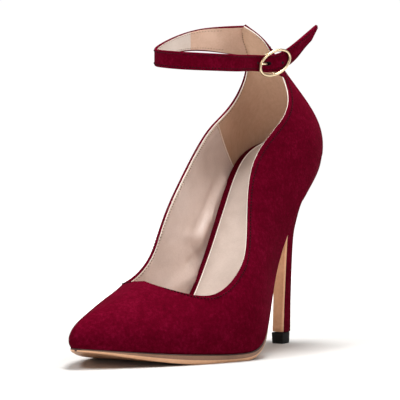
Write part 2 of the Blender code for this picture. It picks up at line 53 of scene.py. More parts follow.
Rib = namedtuple(
    "Rib",
    "name feather lateral medial crown_f crown_l spread crown_z flare lean cut_lateral cut_medial",
)
RIBS = [
    Rib("centre back", 0, 0.0, 0.0, 60, 0.0, 0.0, 180, 60, 87, 1.00, 1.00),
    Rib("back corner", 5, 15.0, 15.5, 55, 0.0, 8.0, 179, 64, 95, 0.85, 0.87),
    Rib("heel side", 22, 26.0, 26.5, 63, 0.0, 13.0, 177, 74, 100, 0.57, 0.48),
    Rib("breast", 45, 29.5, 26.0, 84, 0.0, 14.0, 168, 79, 88, 0.48, 0.44),
    Rib("waist", 75, 30.5, 20.5, 111, 0.0, 8.0, 134, 80, 69, 0.56, 0.52),
    Rib("rear joint", 105, 41.0, 23.5, 128, 0.0, 2.0, 86, 81, 38, 0.48, 0.60),
    Rib("ball", 131, 39.0, 34.0, 139, -1.5, 5.0, 51, 69, 16, 0.70, 0.70),
    Rib("fore joint", 157, 31.0, 32.4, 151, -3.0, 0.0, 40.9, 70, 0, 1.00, 1.00),
    Rib("toe side", 181, 18.0, 23.0, 174, -1.0, 0.0, 33.6, 62, 0, 1.00, 1.00),
    Rib("toe corner", 199, 5.5, 12.0, 193, -2.5, 0.0, 27, 54, 0, 1.00, 1.00),
    Rib("toe tip", 205.2, -3.8, 3.8, 203, -3.8, 0.0, 22, 32, 0, 1.00, 1.00),
]
TIP = len(RIBS) - 1
JOIN_ROW = 5
THROAT_ROW = 7
REACH_LOW = 0.40
REACH_HIGH = 0.42
RIDGE_DROP = np.radians(24)
THROAT_POWER = {"lateral": 0.41, "medial": 0.60}

Level = namedtuple("Level", "f z")
BOTTOM = [
    Level(-8, 114.0),
    Level(0, 112.5),
    Level(20, 107.0),
    Level(40, 91.0),
    Level(60, 67.0),
    Level(80, 39.5),
    Level(100, 14.2),
    Level(112, 6.0),
    Level(124, 4.0),
    Level(136, 4.1),
    Level(148, 4.7),
    Level(162, 5.6),
    Level(185, 7.8),
    Level(212, 10.8),
]


def through(xs, rows, loop=False):
    """A cubic through the rows, natural at its ends or closed into a loop."""
    xs = np.asarray(xs, float)
    rows = np.asarray(rows, float)
    rows = rows[:, None] if rows.ndim == 1 else rows
    gap = np.diff(xs)
    last = len(xs) - 1
    size = last if loop else last + 1
    left = np.zeros((size, size))
    right = np.zeros((size, rows.shape[1]))
    for i in range(size):
        if not loop and i in (0, last):
            left[i, i] = 1
            continue
        before = gap[i - 1]
        after = gap[i % last]
        left[i, (i - 1) % size] += before
        left[i, i] += 2 * (before + after)
        left[i, (i + 1) % size] += after
        rise = (rows[(i + 1) % size if loop else i + 1] - rows[i]) / after
        fall = (rows[i] - rows[(i - 1) % size]) / before
        right[i] = 6 * (rise - fall)
    bend = np.linalg.solve(left, right)
    if loop:
        bend = np.vstack([bend, bend[:1]])

    def at(x):
        x = np.atleast_1d(np.asarray(x, float))
        i = np.clip(np.searchsorted(xs, x, side="right") - 1, 0, last - 1)
        h = gap[i][:, None]
        a = (xs[i + 1] - x)[:, None] / h
        b = 1 - a
        curve = ((a**3 - a) * bend[i] + (b**3 - b) * bend[i + 1]) * h**2 / 6
        return a * rows[i] + b * rows[i + 1] + curve

    return at


def unit(rows):
    """The rows made one long."""
    return rows / np.linalg.norm(rows, axis=-1)[..., None]


def run_length(points):
    """Length gone along a row of points, or along each of several rows."""
    steps = np.linalg.norm(np.diff(points, axis=-2), axis=-1)
    return np.concatenate([0 * steps[..., :1], np.cumsum(steps, axis=-1)], -1)


def between(x, xs, rows):
    """The rows at xs, read off at x."""
    return np.stack([np.interp(x, xs, column) for column in rows.T], -1)


def circle(count):
    """Angles of one full turn."""
    return np.linspace(0, 2 * np.pi, count, endpoint=False)


bottom_curve = through([row.f for row in BOTTOM], [row.z for row in BOTTOM])


def bottom(f):
    return bottom_curve(np.ravel(f))[:, 0].reshape(np.shape(f))


def around(column):
    """A column of the ribs as a loop: up the lateral side, back down the medial one."""
    values = [getattr(rib, column) for rib in RIBS]
    return values + values[-2::-1]


loops = [around("feather"), [rib.lateral for rib in RIBS] + [-rib.medial for rib in RIBS[-2::-1]]]
loops += [around(column) for column in ("crown_f", "crown_l", "crown_z", "flare", "lean")]
loop_at = through(range(2 * TIP + 1), np.transpose(loops), loop=True)
spread_at = through(range(THROAT_ROW + 1), [rib.spread for rib in RIBS[: THROAT_ROW + 1]])


def level_off(values):
    """A curve through the values that ends level at the last of them."""
    return through(range(2 * len(values) - 1), values + values[-2::-1])


cut_at = {
    side: level_off([getattr(rib, "cut_" + side) for rib in RIBS[: JOIN_ROW + 1]])
    for side in ("lateral", "medial")
}


def feather(t):
    """Plan points of the feather edge and their outward normals; t runs 0 to 2 TIP."""
    t = np.asarray(t, float) % (2 * TIP)
    here = loop_at(t)[:, :2]
    step = 0.01
    along = unit(loop_at((t + step) % (2 * TIP))[:, :2] - loop_at((t - step) % (2 * TIP))[:, :2])
    return here, np.c_[-along[:, 1], along[:, 0]]


def ribs(t, tau):
    """Points of the ribs at t, at the shares tau of each; tau has a row per rib."""
    t = np.asarray(t, float) % (2 * TIP)
    _, _, crown_f, crown_l, crown_z, flare, lean = loop_at(t).T
    plan, out = feather(t)
    side = np.minimum(t, 2 * TIP - t)
    spread = spread_at(np.minimum(side, THROAT_ROW))[:, 0] * (side < THROAT_ROW)
    crown_l = crown_l + np.where(t <= TIP, spread, -spread)
    foot = np.c_[plan, bottom(plan[:, 0])]
    crown = np.c_[crown_f, crown_l, crown_z]
    chord = np.linalg.norm(crown - foot, axis=1)[:, None]
    rise = unit((crown - foot) * [1, 0, 1])
    flat = np.c_[out, np.zeros(len(t))]
    ahead = np.maximum(out[:, 0], 0)
    drop = np.c_[ahead * (np.cos(RIDGE_DROP) - 1), 0 * ahead, -ahead * np.sin(RIDGE_DROP)]
    flare = np.radians(flare)[:, None]
    lean = np.radians(lean)[:, None]
    low = foot + REACH_LOW * chord * (rise * np.sin(flare) + flat * np.cos(flare))
    high = crown + REACH_HIGH * chord * ((flat + drop) * np.cos(lean) - rise * np.sin(lean))
    s = np.asarray(tau)[:, :, None]
    foot, low, high, crown = (p[:, None] for p in (foot, low, high, crown))
    return (1 - s) ** 3 * foot + 3 * (1 - s) ** 2 * s * low + 3 * (1 - s) * s**2 * high + s**3 * crown


def topline(t):
    """Share of each rib that stays below the topline: all of it in the closed vamp."""
    t = np.asarray(t, float) % (2 * TIP)
    side = np.minimum(t, 2 * TIP - t)
    left = np.clip((THROAT_ROW - side) / (THROAT_ROW - JOIN_ROW), 0, 1)
    share = {}
    for name, at in cut_at.items():
        curve = 1 - (1 - at([JOIN_ROW])[0, 0]) * (left * (2 - left)) ** THROAT_POWER[name]
        share[name] = np.where(side <= JOIN_ROW, at(np.minimum(side, JOIN_ROW))[:, 0], curve)
    return np.where(t <= TIP, share["lateral"], share["medial"])


def place(points):
    """Table sizes to scene metres."""
    points = np.asarray(points, float)
    return np.stack([points[..., 1], BALL_F - points[..., 0], points[..., 2]], -1) * MM


half_t = np.linspace(0, TIP, 1200)
lateral_edge, lateral_out = feather(half_t)
medial_edge, medial_out = feather(2 * TIP - half_t)


def edge_at(f, side, inset):
    """Where the feather edge, moved in by inset, crosses forward distance f."""
    edge, out = (lateral_edge, lateral_out) if side == "lateral" else (medial_edge, medial_out)
    moved = edge - inset * out
    order = np.argsort(moved[:, 0])
    return np.interp(f, moved[order, 0], moved[order, 1])


def slope_normal(f):
    """Upward normal of the bottom profile, as its forward and upward parts."""
    step = 0.5
    fall = (bottom(f + step) - bottom(f - step)) / (2 * step)
    size = np.hypot(fall, 1)
    return -fall / size, 1 / size


# Materials


class Graph:
    """A material's nodes, with the few kinds that the looks use."""

    def __init__(self, name):
        self.material = bpy.data.materials.new(name)
        self.material.use_nodes = True
        self.tree = self.material.node_tree
        self.shader = self.tree.nodes["Principled BSDF"]
        self.where = self.node("TexCoord").outputs["Object"]

    def node(self, kind, linked=(), **values):
        """A new node, with values set on its inputs and sockets linked to them."""
        made = self.tree.nodes.new("ShaderNode" + kind)
        for key, value in values.items():
            made.inputs[key.replace("_", " ")].default_value = value
        for key, socket in linked:
            self.tree.links.new(socket, made.inputs[key])
        return made

    def set(self, **values):
        for key, value in values.items():
            socket = self.shader.inputs[key.replace("_", " ")]
            socket.default_value = (*value, 1.0) if isinstance(value, tuple) else value

    def link(self, out, key):
        self.tree.links.new(out, self.shader.inputs[key])

    def stretch(self, scale):
        return self.node("Mapping", [("Vector", self.where)], Scale=scale).outputs["Vector"]

    def noise(self, scale, detail=3.0, rough=0.55, warp=0.0, vector=None):
        source = [("Vector", vector or self.where)]
        made = self.node("TexNoise", source, Scale=scale, Detail=detail, Roughness=rough, Distortion=warp)
        return made.outputs["Fac"]

    def cells(self, scale):
        made = self.node("TexVoronoi", [("Vector", self.where)], Scale=scale)
        made.feature = "DISTANCE_TO_EDGE"
        return made.outputs["Distance"]

    def mix(self, *parts):
        """A weighted sum of (socket, weight) pairs."""
        total = None
        for socket, weight in parts:
            step = self.node("Math", [(0, socket)])
            step.operation = "MULTIPLY_ADD"
            step.inputs[1].default_value = weight
            step.inputs[2].default_value = 0.0
            if total:
                self.tree.links.new(total, step.inputs[2])
            total = step.outputs[0]
        return total

    def ramp(self, factor, *stops):
        made = self.node("ValToRGB", [("Fac", factor)])
        band = made.color_ramp
        while len(band.elements) < len(stops):
            band.elements.new(0.5)
        for element, (at, colour) in zip(band.elements, stops):
            element.position = at
            element.color = (*colour, 1.0)
        return made.outputs["Color"]

    def spread(self, factor, low, high):
        return self.node("MapRange", [("Value", factor)], To_Min=low, To_Max=high).outputs["Result"]

    def bump(self, height, strength, depth):
        made = self.node("Bump", [("Height", height)], Strength=strength, Distance=depth * MM)
        self.link(made.outputs["Normal"], "Normal")


def suede_look(name, dark, middle, light):
    """Napped leather: fine fibres, mottled grain, and brushed patches."""
    g = Graph(name)
    patch = g.noise(55, 3, 0.55, 0.6)
    strokes = g.noise(210, 4, 0.6, 0.5, g.stretch((1.0, 0.45, 1.0)))
    grain = g.noise(620, 5, 0.62, 0.3)
    fibre = g.noise(2600, 3, 0.6)
    tone = g.mix((patch, 0.16), (strokes, 0.16), (grain, 0.38), (fibre, 0.30))
    g.link(g.ramp(tone, (0.37, dark), (0.50, middle), (0.65, light)), "Base Color")
    g.link(g.spread(grain, 0.82, 1.0), "Roughness")
    g.bump(g.mix((strokes, 0.20), (grain, 0.45), (fibre, 0.35)), 0.55, 0.35)
    g.set(Specular_IOR_Level=0.01, Sheen_Weight=0.02, Sheen_Roughness=0.35, Sheen_Tint=(1.0, 0.12, 0.26))
    return g.material


def leather_look(name, dark, light, smooth, rough, grain=900, wrinkle=0.0, specular=0.45):
    """Finished leather: pores, a soft drift of tone, and slow waves where it is lightly wrinkled."""
    g = Graph(name)
    drift = g.noise(60, 3, 0.5, 0.3)
    pores = g.noise(grain, 4, 0.6)
    cells = g.cells(grain * 1.5)
    wave = g.noise(95, 2, 0.45, 0.8, g.stretch((1.0, 1.0, 0.55)))
    g.link(g.ramp(g.mix((drift, 0.65), (pores, 0.35)), (0.36, dark), (0.62, light)), "Base Color")
    g.link(g.spread(pores, smooth, rough), "Roughness")
    g.bump(g.mix((pores, 0.22), (cells, 0.30), (wave, wrinkle)), 0.30, 0.30)
    g.set(Specular_IOR_Level=specular)
    return g.material


def brushed_look(name, dark, light):
    """Flesh side of leather, brushed up and down."""
    g = Graph(name)
    strokes = g.noise(300, 4, 0.6, 0.3, g.stretch((2.2, 2.2, 0.55)))
    fibre = g.noise(1800, 3, 0.6)
    drift = g.noise(55, 2)
    tone = g.mix((strokes, 0.45), (fibre, 0.2), (drift, 0.35))
    g.link(g.ramp(tone, (0.34, dark), (0.64, light)), "Base Color")
    g.link(g.spread(fibre, 0.7, 0.95), "Roughness")
    g.bump(g.mix((strokes, 0.6), (fibre, 0.4)), 0.3, 0.3)
    g.set(Specular_IOR_Level=0.2, Sheen_Weight=0.15, Sheen_Roughness=0.4)
    return g.material


def metal_look(name, dark, light):
    """Plated wire with faint polishing marks."""
    g = Graph(name)
    drift = g.noise(160, 3)
    marks = g.noise(900, 3, 0.6, 0.0, g.stretch((1.0, 5.0, 1.0)))
    g.link(g.ramp(drift, (0.3, dark), (0.7, light)), "Base Color")
    g.link(g.spread(marks, 0.28, 0.36), "Roughness")
    g.bump(marks, 0.02, 0.02)
    g.set(Metallic=1.0)
    return g.material


def rubber_look(name, dark, light):
    g = Graph(name)
    speck = g.noise(1400, 4, 0.6)
    g.link(g.ramp(speck, (0.35, dark), (0.7, light)), "Base Color")
    g.link(g.spread(speck, 0.55, 0.8), "Roughness")
    g.bump(speck, 0.15, 0.1)
    g.set(Specular_IOR_Level=0.15)
    return g.material


SUEDE = suede_look("suede", (0.055, 0.0002, 0.0045), (0.086, 0.0004, 0.0077), (0.155, 0.0028, 0.0200))
# Thread darkened so the stitches also stand in for the shade in their pits: partly the thread's own colour,
# partly painted shade
PIT_SHADED_THREAD = leather_look(
    "pit_shaded_thread", (0.010, 0.0002, 0.0016), (0.022, 0.0004, 0.0032), 0.6, 0.9, grain=2500, specular=0.1
)
# Lining thread darkened the same way: partly the thread's own colour, partly painted shade of the stitch
# pits
PIT_SHADED_LINING_THREAD = leather_look(
    "pit_shaded_lining_thread", (0.20, 0.125, 0.085), (0.30, 0.195, 0.140), 0.5, 0.8, grain=2500, specular=0.2
)
SEAM = leather_look("lining_seam", (0.80, 0.66, 0.56), (0.91, 0.80, 0.71), 0.45, 0.65, 1800)
QUARTER = leather_look(
    "quarter_lining", (0.665, 0.53, 0.465), (0.785, 0.65, 0.59), 0.24, 0.36, 1100, wrinkle=0.6, specular=0.9
)
COUNTER = brushed_look("counter_lining", (0.52, 0.322, 0.212), (0.635, 0.412, 0.286))
BINDING = leather_look("lining_binding", (0.76, 0.63, 0.54), (0.87, 0.75, 0.66), 0.40, 0.55, 1500)
CREAM = leather_look("lining_edge", (0.91, 0.82, 0.73), (0.97, 0.91, 0.84), 0.5, 0.7, 1800)
SOCK = leather_look("sock", (0.45, 0.36, 0.31), (0.555, 0.46, 0.405), 0.42, 0.58, 1300, 0.12)
TAN = leather_look("sole_leather", (0.60, 0.310, 0.165), (0.76, 0.425, 0.245), 0.36, 0.52, 700, 0.05)
# Near-black line of painted shade where the upper meets the sole
FEATHER_SHADE = leather_look("feather_painted_shade", (0.030, 0.009, 0.009), (0.060, 0.020, 0.018), 0.55, 0.75, 1200)
EDGE = leather_look("sole_edge", (0.185, 0.089, 0.051), (0.28, 0.144, 0.086), 0.40, 0.60, 1200)
BOARD = suede_look("board_cover", (0.060, 0.0002, 0.0045), (0.095, 0.0005, 0.0085), (0.140, 0.003, 0.018))
PALE = leather_look("strap_lining", (0.61, 0.505, 0.44), (0.70, 0.605, 0.54), 0.40, 0.56, 1200, 0.10)
STRAP_TAN = leather_look(
    "strap_root_lining", (0.55, 0.34, 0.24), (0.68, 0.455, 0.34), 0.42, 0.6, 1000, wrinkle=0.15
)
GOLD = metal_look("pale_gold", (0.70, 0.54, 0.34), (0.82, 0.66, 0.45))
# Darker gold painted on the ring's inner and outer sides as shade
GOLD_PAINTED_SHADE = metal_look("pale_gold_painted_shade", (0.20, 0.13, 0.06), (0.30, 0.20, 0.11))
RUBBER = rubber_look("black_rubber", (0.0035, 0.0035, 0.0035), (0.011, 0.0105, 0.0105))
# Near-black painted shade for the insides of the holes and for the prong inside its hole
HOLE_SHADE = rubber_look("painted_hole_shade", (0.004, 0.001, 0.002), (0.012, 0.003, 0.004))


# Meshes


def new_mesh(name, points, faces):
    """A mesh from table points, with its faces turned outward."""
    mesh = bpy.data.meshes.new(name)
    mesh.from_pydata(place(points).reshape(-1, 3).tolist(), [], faces)
    shape = bmesh.new()
    shape.from_mesh(mesh)
    bmesh.ops.recalc_face_normals(shape, faces=shape.faces)
    shape.to_mesh(mesh)
    shape.free()
    return mesh


def new_object(name, data):
    made = bpy.data.objects.new(name, data)
    bpy.context.scene.collection.objects.link(made)
    return made


def piece(name, points, faces, looks, slot, marks=None, replaces=()):
    """A piece of the shoe from table points; marks gives each face its material."""
    mesh = new_mesh(name, points, faces)
    for look in looks:
        mesh.materials.append(look)
    if marks is not None:
        mesh.polygons.foreach_set("material_index", np.asarray(marks, np.int32))
    mesh.polygons.foreach_set("use_smooth", np.ones(len(mesh.polygons), bool))
    made = new_object(name, mesh)
    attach(made, "root")
    if replaces:
        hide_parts(*replaces)
    return made


def tube(rings, caps=True, closed=False):
    """Points and faces of closed rings joined one after another."""
    rings = [np.asarray(ring, float) for ring in rings]
    count = len(rings[0])
    turns = len(rings) if closed else len(rings) - 1
    faces = []
    for i in range(turns):
        n = (i + 1) % len(rings)
        for j in range(count):
            k = (j + 1) % count
            faces.append((i * count + j, i * count + k, n * count + k, n * count + j))
    if caps and not closed:
        faces.append(tuple(range(count))[::-1])
        faces.append(tuple((len(rings) - 1) * count + j for j in range(count)))
    return np.vstack(rings), faces


def ring_marks(rings, look, caps):
    """The look of each face of a tube by its row and column, and then the looks of its two caps."""
    count = len(rings[0])
    return [look(*divmod(k, count)) for k in range((len(rings) - 1) * count)] + caps


def carve(target, name, points, faces):
    """Cuts a closed shape out of a piece for good."""
    tool = new_object(name, new_mesh(name, points, faces))
    step = target.modifiers.new("carve", "BOOLEAN")
    step.operation = "DIFFERENCE"
    step.solver = "EXACT"
    step.object = tool
    graph = bpy.context.evaluated_depsgraph_get()
    cut = bpy.data.meshes.new_from_object(target.evaluated_get(graph))
    target.modifiers.clear()
    target.data = cut
    bpy.data.objects.remove(tool, do_unlink=True)


def wire(path, radius, sides=14, closed=False, taper=None, hint=(0.0, 0.0, 1.0)):
    """Rings of a round wire along a path."""
    path = np.asarray(path, float)
    if closed:
        along = unit(np.roll(path, -1, axis=0) - np.roll(path, 1, axis=0))
    else:
        along = unit(np.gradient(path, axis=0))
    side = np.cross(along[0], hint)
    turn = circle(sides)
    rings = []
    for i, (p, way) in enumerate(zip(path, along)):
        side = unit(side - (side @ way) * way)
        other = np.cross(way, side)
        size = radius if taper is None else radius * taper[i]
        rings.append(p + size * (np.cos(turn)[:, None] * side + np.sin(turn)[:, None] * other))
    return rings


Stitch = namedtuple("Stitch", "pitch length radius")
STITCH_SIDES = 6
STITCH_TAPER = (0.45, 0.85, 1.0, 1.0, 1.0, 0.85, 0.45)
STITCH_SUNK = 0.35


def stitches(name, path, normals, stitch, look):
    """A row of stitches along a path: short bowed capsules, each end dipping into the leather."""
    path = np.asarray(path, float)
    gone = run_length(path)
    shares = np.linspace(-0.5, 0.5, len(STITCH_TAPER))
    rise = stitch.radius * (1 - 4 * shares**2 - STITCH_SUNK)
    points, faces = [], []
    for middle in np.arange(stitch.pitch / 2, gone[-1] - stitch.pitch / 2, stitch.pitch):
        where = middle + stitch.length * shares
        out = unit(between(where, gone, normals))
        bow = between(where, gone, path) + rise[:, None] * out
        more, quads = tube(wire(bow, stitch.radius, STITCH_SIDES, taper=STITCH_TAPER, hint=out[0]))
        start = len(points) * len(more)
        points.append(more)
        faces += [tuple(v + start for v in quad) for quad in quads]
    return piece(name, np.vstack(points), faces, [look], "suede")


# Upper: suede outside, rolled over the topline, and lined inside

BACK_COLUMNS = 96
THROAT_COLUMNS = 44
THROAT_CLOSE = 1.6
VAMP_COLUMNS = 46
EDGE_STEPS = np.array([0.0, 0.3, 0.6, 1.0, 1.5, 2.0, 2.6, 3.1, 3.7, 4.5, 5.5, 6.8])
LOWER_ROWS = 40
FINE = np.linspace(0, 1, 161)
ROLL = 12
ROLL_PROUD = 0.75
ROLL_SUEDE = {"neck": 9, "lateral": 6, "medial": 9}
NECK_END = 1.3
SEAM_T = 2.45
SEAM_SHIFT = 0.27
SEAM_REACH = 0.9
SEAM_SHARES = np.linspace(0.02, 0.965, 90)
SEAM_SUNK = 0.12
SEAM_WIRE = 0.40
CREAM_IN = 0.45
BIND_IN = 2.6
BIND_END = 3.0
BIND_RAMP = 0.5
GROOVE_IN = 3.9
GROOVE_WIDE = 0.9
GROOVE_DEEP = 0.60
LINING_STEP = 0.28
MOST_HOLLOW = 0.9
ROOT_T = (0.06, 1.16)
ROOT_MARGIN = 0.04
UPPER_LOOKS = [SUEDE, QUARTER, COUNTER, CREAM, BINDING]
ON_SUEDE, ON_QUARTER, ON_COUNTER, ON_CREAM, ON_BINDING = range(len(UPPER_LOOKS))

Crease = namedtuple("Crease", "name t_from share_from t_to share_to wide deep below", defaults=(1.0,))
CREASES = [
    Crease("long swell", 2.92, 0.11, 3.36, 0.15, 2.8, -1.50, 0.7),
    Crease("full swell", 3.53, 0.16, 3.88, 0.19, 3.2, -2.30, 0.7),
    Crease("swell curl", 3.97, 0.26, 4.04, 0.33, 2.4, -1.10),
    Crease("swell above", 3.20, 0.23, 3.86, 0.28, 3.4, 0.90),
    Crease("swell end", 4.02, 0.08, 4.06, 0.34, 1.8, 0.85),
    Crease("pinch", 4.09, 0.37, 4.12, 0.45, 1.6, -0.80),
    Crease("low fold", 3.92, 0.07, 4.24, 0.22, 1.8, 0.80),
    Crease("low swell", 4.26, 0.09, 4.75, 0.30, 4.4, -1.30, 0.8),
    Crease("side pull", 4.36, 0.60, 4.62, 0.74, 2.2, 0.30),
    Crease("seam pull", 2.60, 0.45, 3.05, 0.70, 3.0, 0.35),
]


def upper_columns():
    """Rib positions, close together where the throat turns across the vamp."""
    back = np.linspace(0, JOIN_ROW, BACK_COLUMNS)[:-1]
    left = np.linspace(1, 0, THROAT_COLUMNS + 1)[:-1] ** THROAT_CLOSE
    turn = THROAT_ROW - (THROAT_ROW - JOIN_ROW) * left
    vamp = np.linspace(THROAT_ROW, TIP, VAMP_COLUMNS + 1)
    half = np.concatenate([back, turn, vamp])
    return np.concatenate([half, 2 * TIP - half[-2:0:-1]])


def straight_up(t, share):
    """Points at shares of the ribs that stay below the topline."""
    return ribs(t, (topline(t) * share)[:, None])[:, 0]


def rib_lengths(t):
    """Length gone up each rib, at the shares FINE of its way to the topline."""
    return run_length(ribs(t, topline(t)[:, None] * FINE))


def skin_rows(t):
    """Shares of each rib's length to its topline, close together near the topline."""
    shares = np.empty((len(t), LOWER_ROWS + len(EDGE_STEPS)))
    depth = np.empty_like(shares)
    for j, gone in enumerate(rib_lengths(t)):
        low = np.linspace(0, gone[-1] - EDGE_STEPS[-1], LOWER_ROWS + 1)[:-1]
        where = np.concatenate([low, gone[-1] - EDGE_STEPS[::-1]])
        shares[j] = np.interp(where, gone, FINE)
        depth[j] = gone[-1] - where
    return shares, depth


def skin_points(t, share):
    """Points of the outer skin; near the lining's seam the columns lean with it."""
    side = np.minimum(t, 2 * TIP - t)[:, None]
    lean = SEAM_SHIFT * share**2 * np.exp(-(((side - SEAM_T) / SEAM_REACH) ** 2))
    leaned = t[:, None] + np.where(t[:, None] <= TIP, lean, -lean)
    return straight_up(leaned.ravel(), share.ravel()).reshape(*share.shape, 3)


def skin_at(t, share):
    """One point of the outer skin for each rib position and share."""
    return skin_points(t, share[:, None])[:, 0]


def skin_normals(points):
    """Outward normals of a closed loop of columns."""
    across = np.roll(points, -1, axis=0) - np.roll(points, 1, axis=0)
    up = np.gradient(points, axis=1)
    normal = np.cross(up, across)
    return normal / np.maximum(np.linalg.norm(normal, axis=2), 1e-9)[..., None]


columns = upper_columns()
column_side = np.minimum(columns, 2 * TIP - columns)
shares, depths = skin_rows(columns)
skin = skin_points(columns, shares)
normals = skin_normals(skin)
twin = (len(columns) - np.arange(len(columns))) % len(columns)
shut = column_side >= THROAT_ROW
at_root = (columns > TIP) & (column_side > ROOT_T[0]) & (column_side < ROOT_T[1])
normals[:, -1] = unit(normals[:, -1] + np.where(shut[:, None], normals[twin, -1], 0))


def crease_depth(points):
    """How far the listed creases push the lining in, at each of its points."""
    total = np.zeros(points.shape[:2])
    for row in CREASES:
        t = 2 * TIP - np.array([row.t_from, row.t_to])
        ends = skin_at(t, np.array([row.share_from, row.share_to]))
        way = ends[1] - ends[0]
        s = np.clip(((points - ends[0]) @ way) / (way @ way), 0, 1)
        far = np.linalg.norm(points - (ends[0] + s[..., None] * way), axis=2)
        far *= np.where(shares < row.share_from + s * (row.share_to - row.share_from), row.below, 1.0)
        total += row.deep * np.exp(-((far / row.wide) ** 2))
    return np.minimum(total, MOST_HOLLOW)


def lining_face(j, side, below):
    """Which lining shows in column j, at a rib position and a distance below the topline."""
    root = columns[j] > TIP and ROOT_T[0] - ROOT_MARGIN < side < ROOT_T[1] + ROOT_MARGIN
    if below < CREAM_IN and not root:
        return ON_CREAM
    if side < SEAM_T:
        return ON_COUNTER
    return ON_BINDING if below < BIND_IN else ON_QUARTER


def roll_face(j, step):
    """What shows in column j, at a step round the rolled topline."""
    if at_root[j] and step > 1:
        return ON_COUNTER
    stretch = "medial" if columns[j] > TIP else "neck" if columns[j] < NECK_END else "lateral"
    return ON_SUEDE if step < ROLL_SUEDE[stretch] else ON_CREAM


def build_upper():
    count, rows = shares.shape
    raised = np.clip((BIND_END - depths) / BIND_RAMP, 0, 1)
    groove = GROOVE_DEEP * np.exp(-(((depths - GROOVE_IN) / GROOVE_WIDE) ** 2))
    hollow = groove * (column_side > SEAM_T)[:, None] + crease_depth(skin)
    inner = skin - (WALL + LINING_STEP * raised - hollow * (1 - raised))[..., None] * normals
    inside = count * rows
    faces, marks = [], []

    def at(j, i, layer):
        if i == rows - 1 and shut[j] and twin[j] < j:
            j = twin[j]
        return layer * inside + j * rows + i

    for j in range(count):
        k = (j + 1) % count
        side = (column_side[j] + column_side[k]) / 2
        for i in range(rows - 1):
            quad = [at(j, i, 0), at(k, i, 0), at(k, i + 1, 0), at(j, i + 1, 0)]
            faces.append(tuple(dict.fromkeys(quad)))
            marks.append(ON_SUEDE)
            quad = [at(j, i + 1, 1), at(k, i + 1, 1), at(k, i, 1), at(j, i, 1)]
            faces.append(tuple(dict.fromkeys(quad)))
            marks.append(lining_face(j, side, (depths[j, i] + depths[j, i + 1]) / 2))
        faces.append((at(j, 0, 1), at(k, 0, 1), at(k, 0, 0), at(j, 0, 0)))
        marks.append(ON_SUEDE)
    middle = (skin[:, -1] + inner[:, -1]) / 2
    reach = skin[:, -1] - middle
    off = unit(skin[:, -1] - skin[:, -3])
    proud = ROLL_PROUD * np.linalg.norm(reach, axis=1)[:, None] * off * ~(shut | at_root)[:, None]
    turn = np.linspace(0, np.pi, ROLL + 1)[1:-1]
    roll = np.stack([middle + np.cos(a) * reach + np.sin(a) * proud for a in turn], 1)

    def on_roll(j, i):
        if i == 0:
            return at(j, rows - 1, 0)
        if i == ROLL:
            return at(j, rows - 1, 1)
        return 2 * inside + j * (ROLL - 1) + i - 1

    for j in range(count):
        k = (j + 1) % count
        if shut[j] and shut[k]:
            continue
        for i in range(ROLL):
            faces.append((on_roll(j, i), on_roll(k, i), on_roll(k, i + 1), on_roll(j, i + 1)))
            marks.append(roll_face(j, i))
    points = np.vstack([layer.reshape(-1, 3) for layer in (skin, inner, roll)])
    made = piece("upper_suede", points, faces, UPPER_LOOKS, "suede", marks, ["upper"])
    shape = bmesh.new()
    shape.from_mesh(made.data)
    loose = [v for v in shape.verts if not v.link_faces]
    bmesh.ops.delete(shape, geom=loose, context="VERTS")
    shape.to_mesh(made.data)
    shape.free()


def with_normals(surface, t, share, step):
    """Points of a surface at rib positions and shares of the ribs, with its outward normals."""
    here = surface(t, share)
    up = surface(t, share + step) - here
    across = surface(t + step, share) - here
    return here, unit(np.cross(up, across))


def line_on_upper(t, depth, inside=False):
    """A path on the upper at a distance below its topline, with its normals."""
    share = np.array([np.interp(gone[-1] - depth, gone, FINE) for gone in rib_lengths(t)])
    here, out = with_normals(straight_up, t, share, step=0.004)
    if inside:
        return here - (WALL + LINING_STEP) * out, -out
    return here, out


def build_seams():
    """The ridge where the quarter lining laps the counter lining, on both sides."""
    for side, t in (("lateral", SEAM_T), ("medial", 2 * TIP - SEAM_T)):
        here, out = with_normals(skin_at, np.full(len(SEAM_SHARES), t), SEAM_SHARES, step=0.01)
        rings = wire(here - (WALL + SEAM_SUNK) * out, SEAM_WIRE, 10, hint=out[0])
        piece("lining_seam_" + side, *tube(rings), [SEAM], "suede")


STITCH_IN = 1.9
LINING_STITCH_IN = 1.6
STITCH_T = np.linspace(0.35, 6.93, 500)
TOPLINE_STITCH = Stitch(1.75, 0.85, 0.36)
LINING_STITCH = Stitch(1.75, 0.80, 0.22)


def build_topline_stitches():
    for side, t in (("lateral", STITCH_T), ("medial", 2 * TIP - STITCH_T)):
        path, out = line_on_upper(t, STITCH_IN)
        stitches("stitches_" + side, path, out, TOPLINE_STITCH, PIT_SHADED_THREAD)
        path, out = line_on_upper(t, LINING_STITCH_IN, inside=True)
        stitches("lining_stitches_" + side, path, out, LINING_STITCH, PIT_SHADED_LINING_THREAD)


# Insole board in a suede cover, with the sock on it

INSOLE_THICK = 2.0
INSOLE_BACK = 3.0
INSOLE_FRONT = 197.0
INSOLE_INSET = WALL - 0.15
INSOLE_ROUND = 0.8
CUP = 6.0
CUP_FROM = 52.0
CUP_RISE = 1.5
CUP_ROUND = 2.5
SOCK_INSET = 5.2
SOCK_BACK_INSET = 1.1
SOCK_THICK = 0.7
SOCK_SUNK = 0.05
SOCK_ROUND = 0.9
SOCK_BACK = 8.5
SOCK_FRONT = 190.0
SEAT_FRONT = 75.0
SEAT_FADE = 40.0
SLAB_STATIONS = 170
SLAB_ACROSS = 16
# Points up a slab's side: shares of its height, and of its rounding inward
SLAB_EDGE = ((0.35, 0.0), (0.65, 0.0), (0.92, 0.3))
SLAB_LOW_INWARD = 0.2


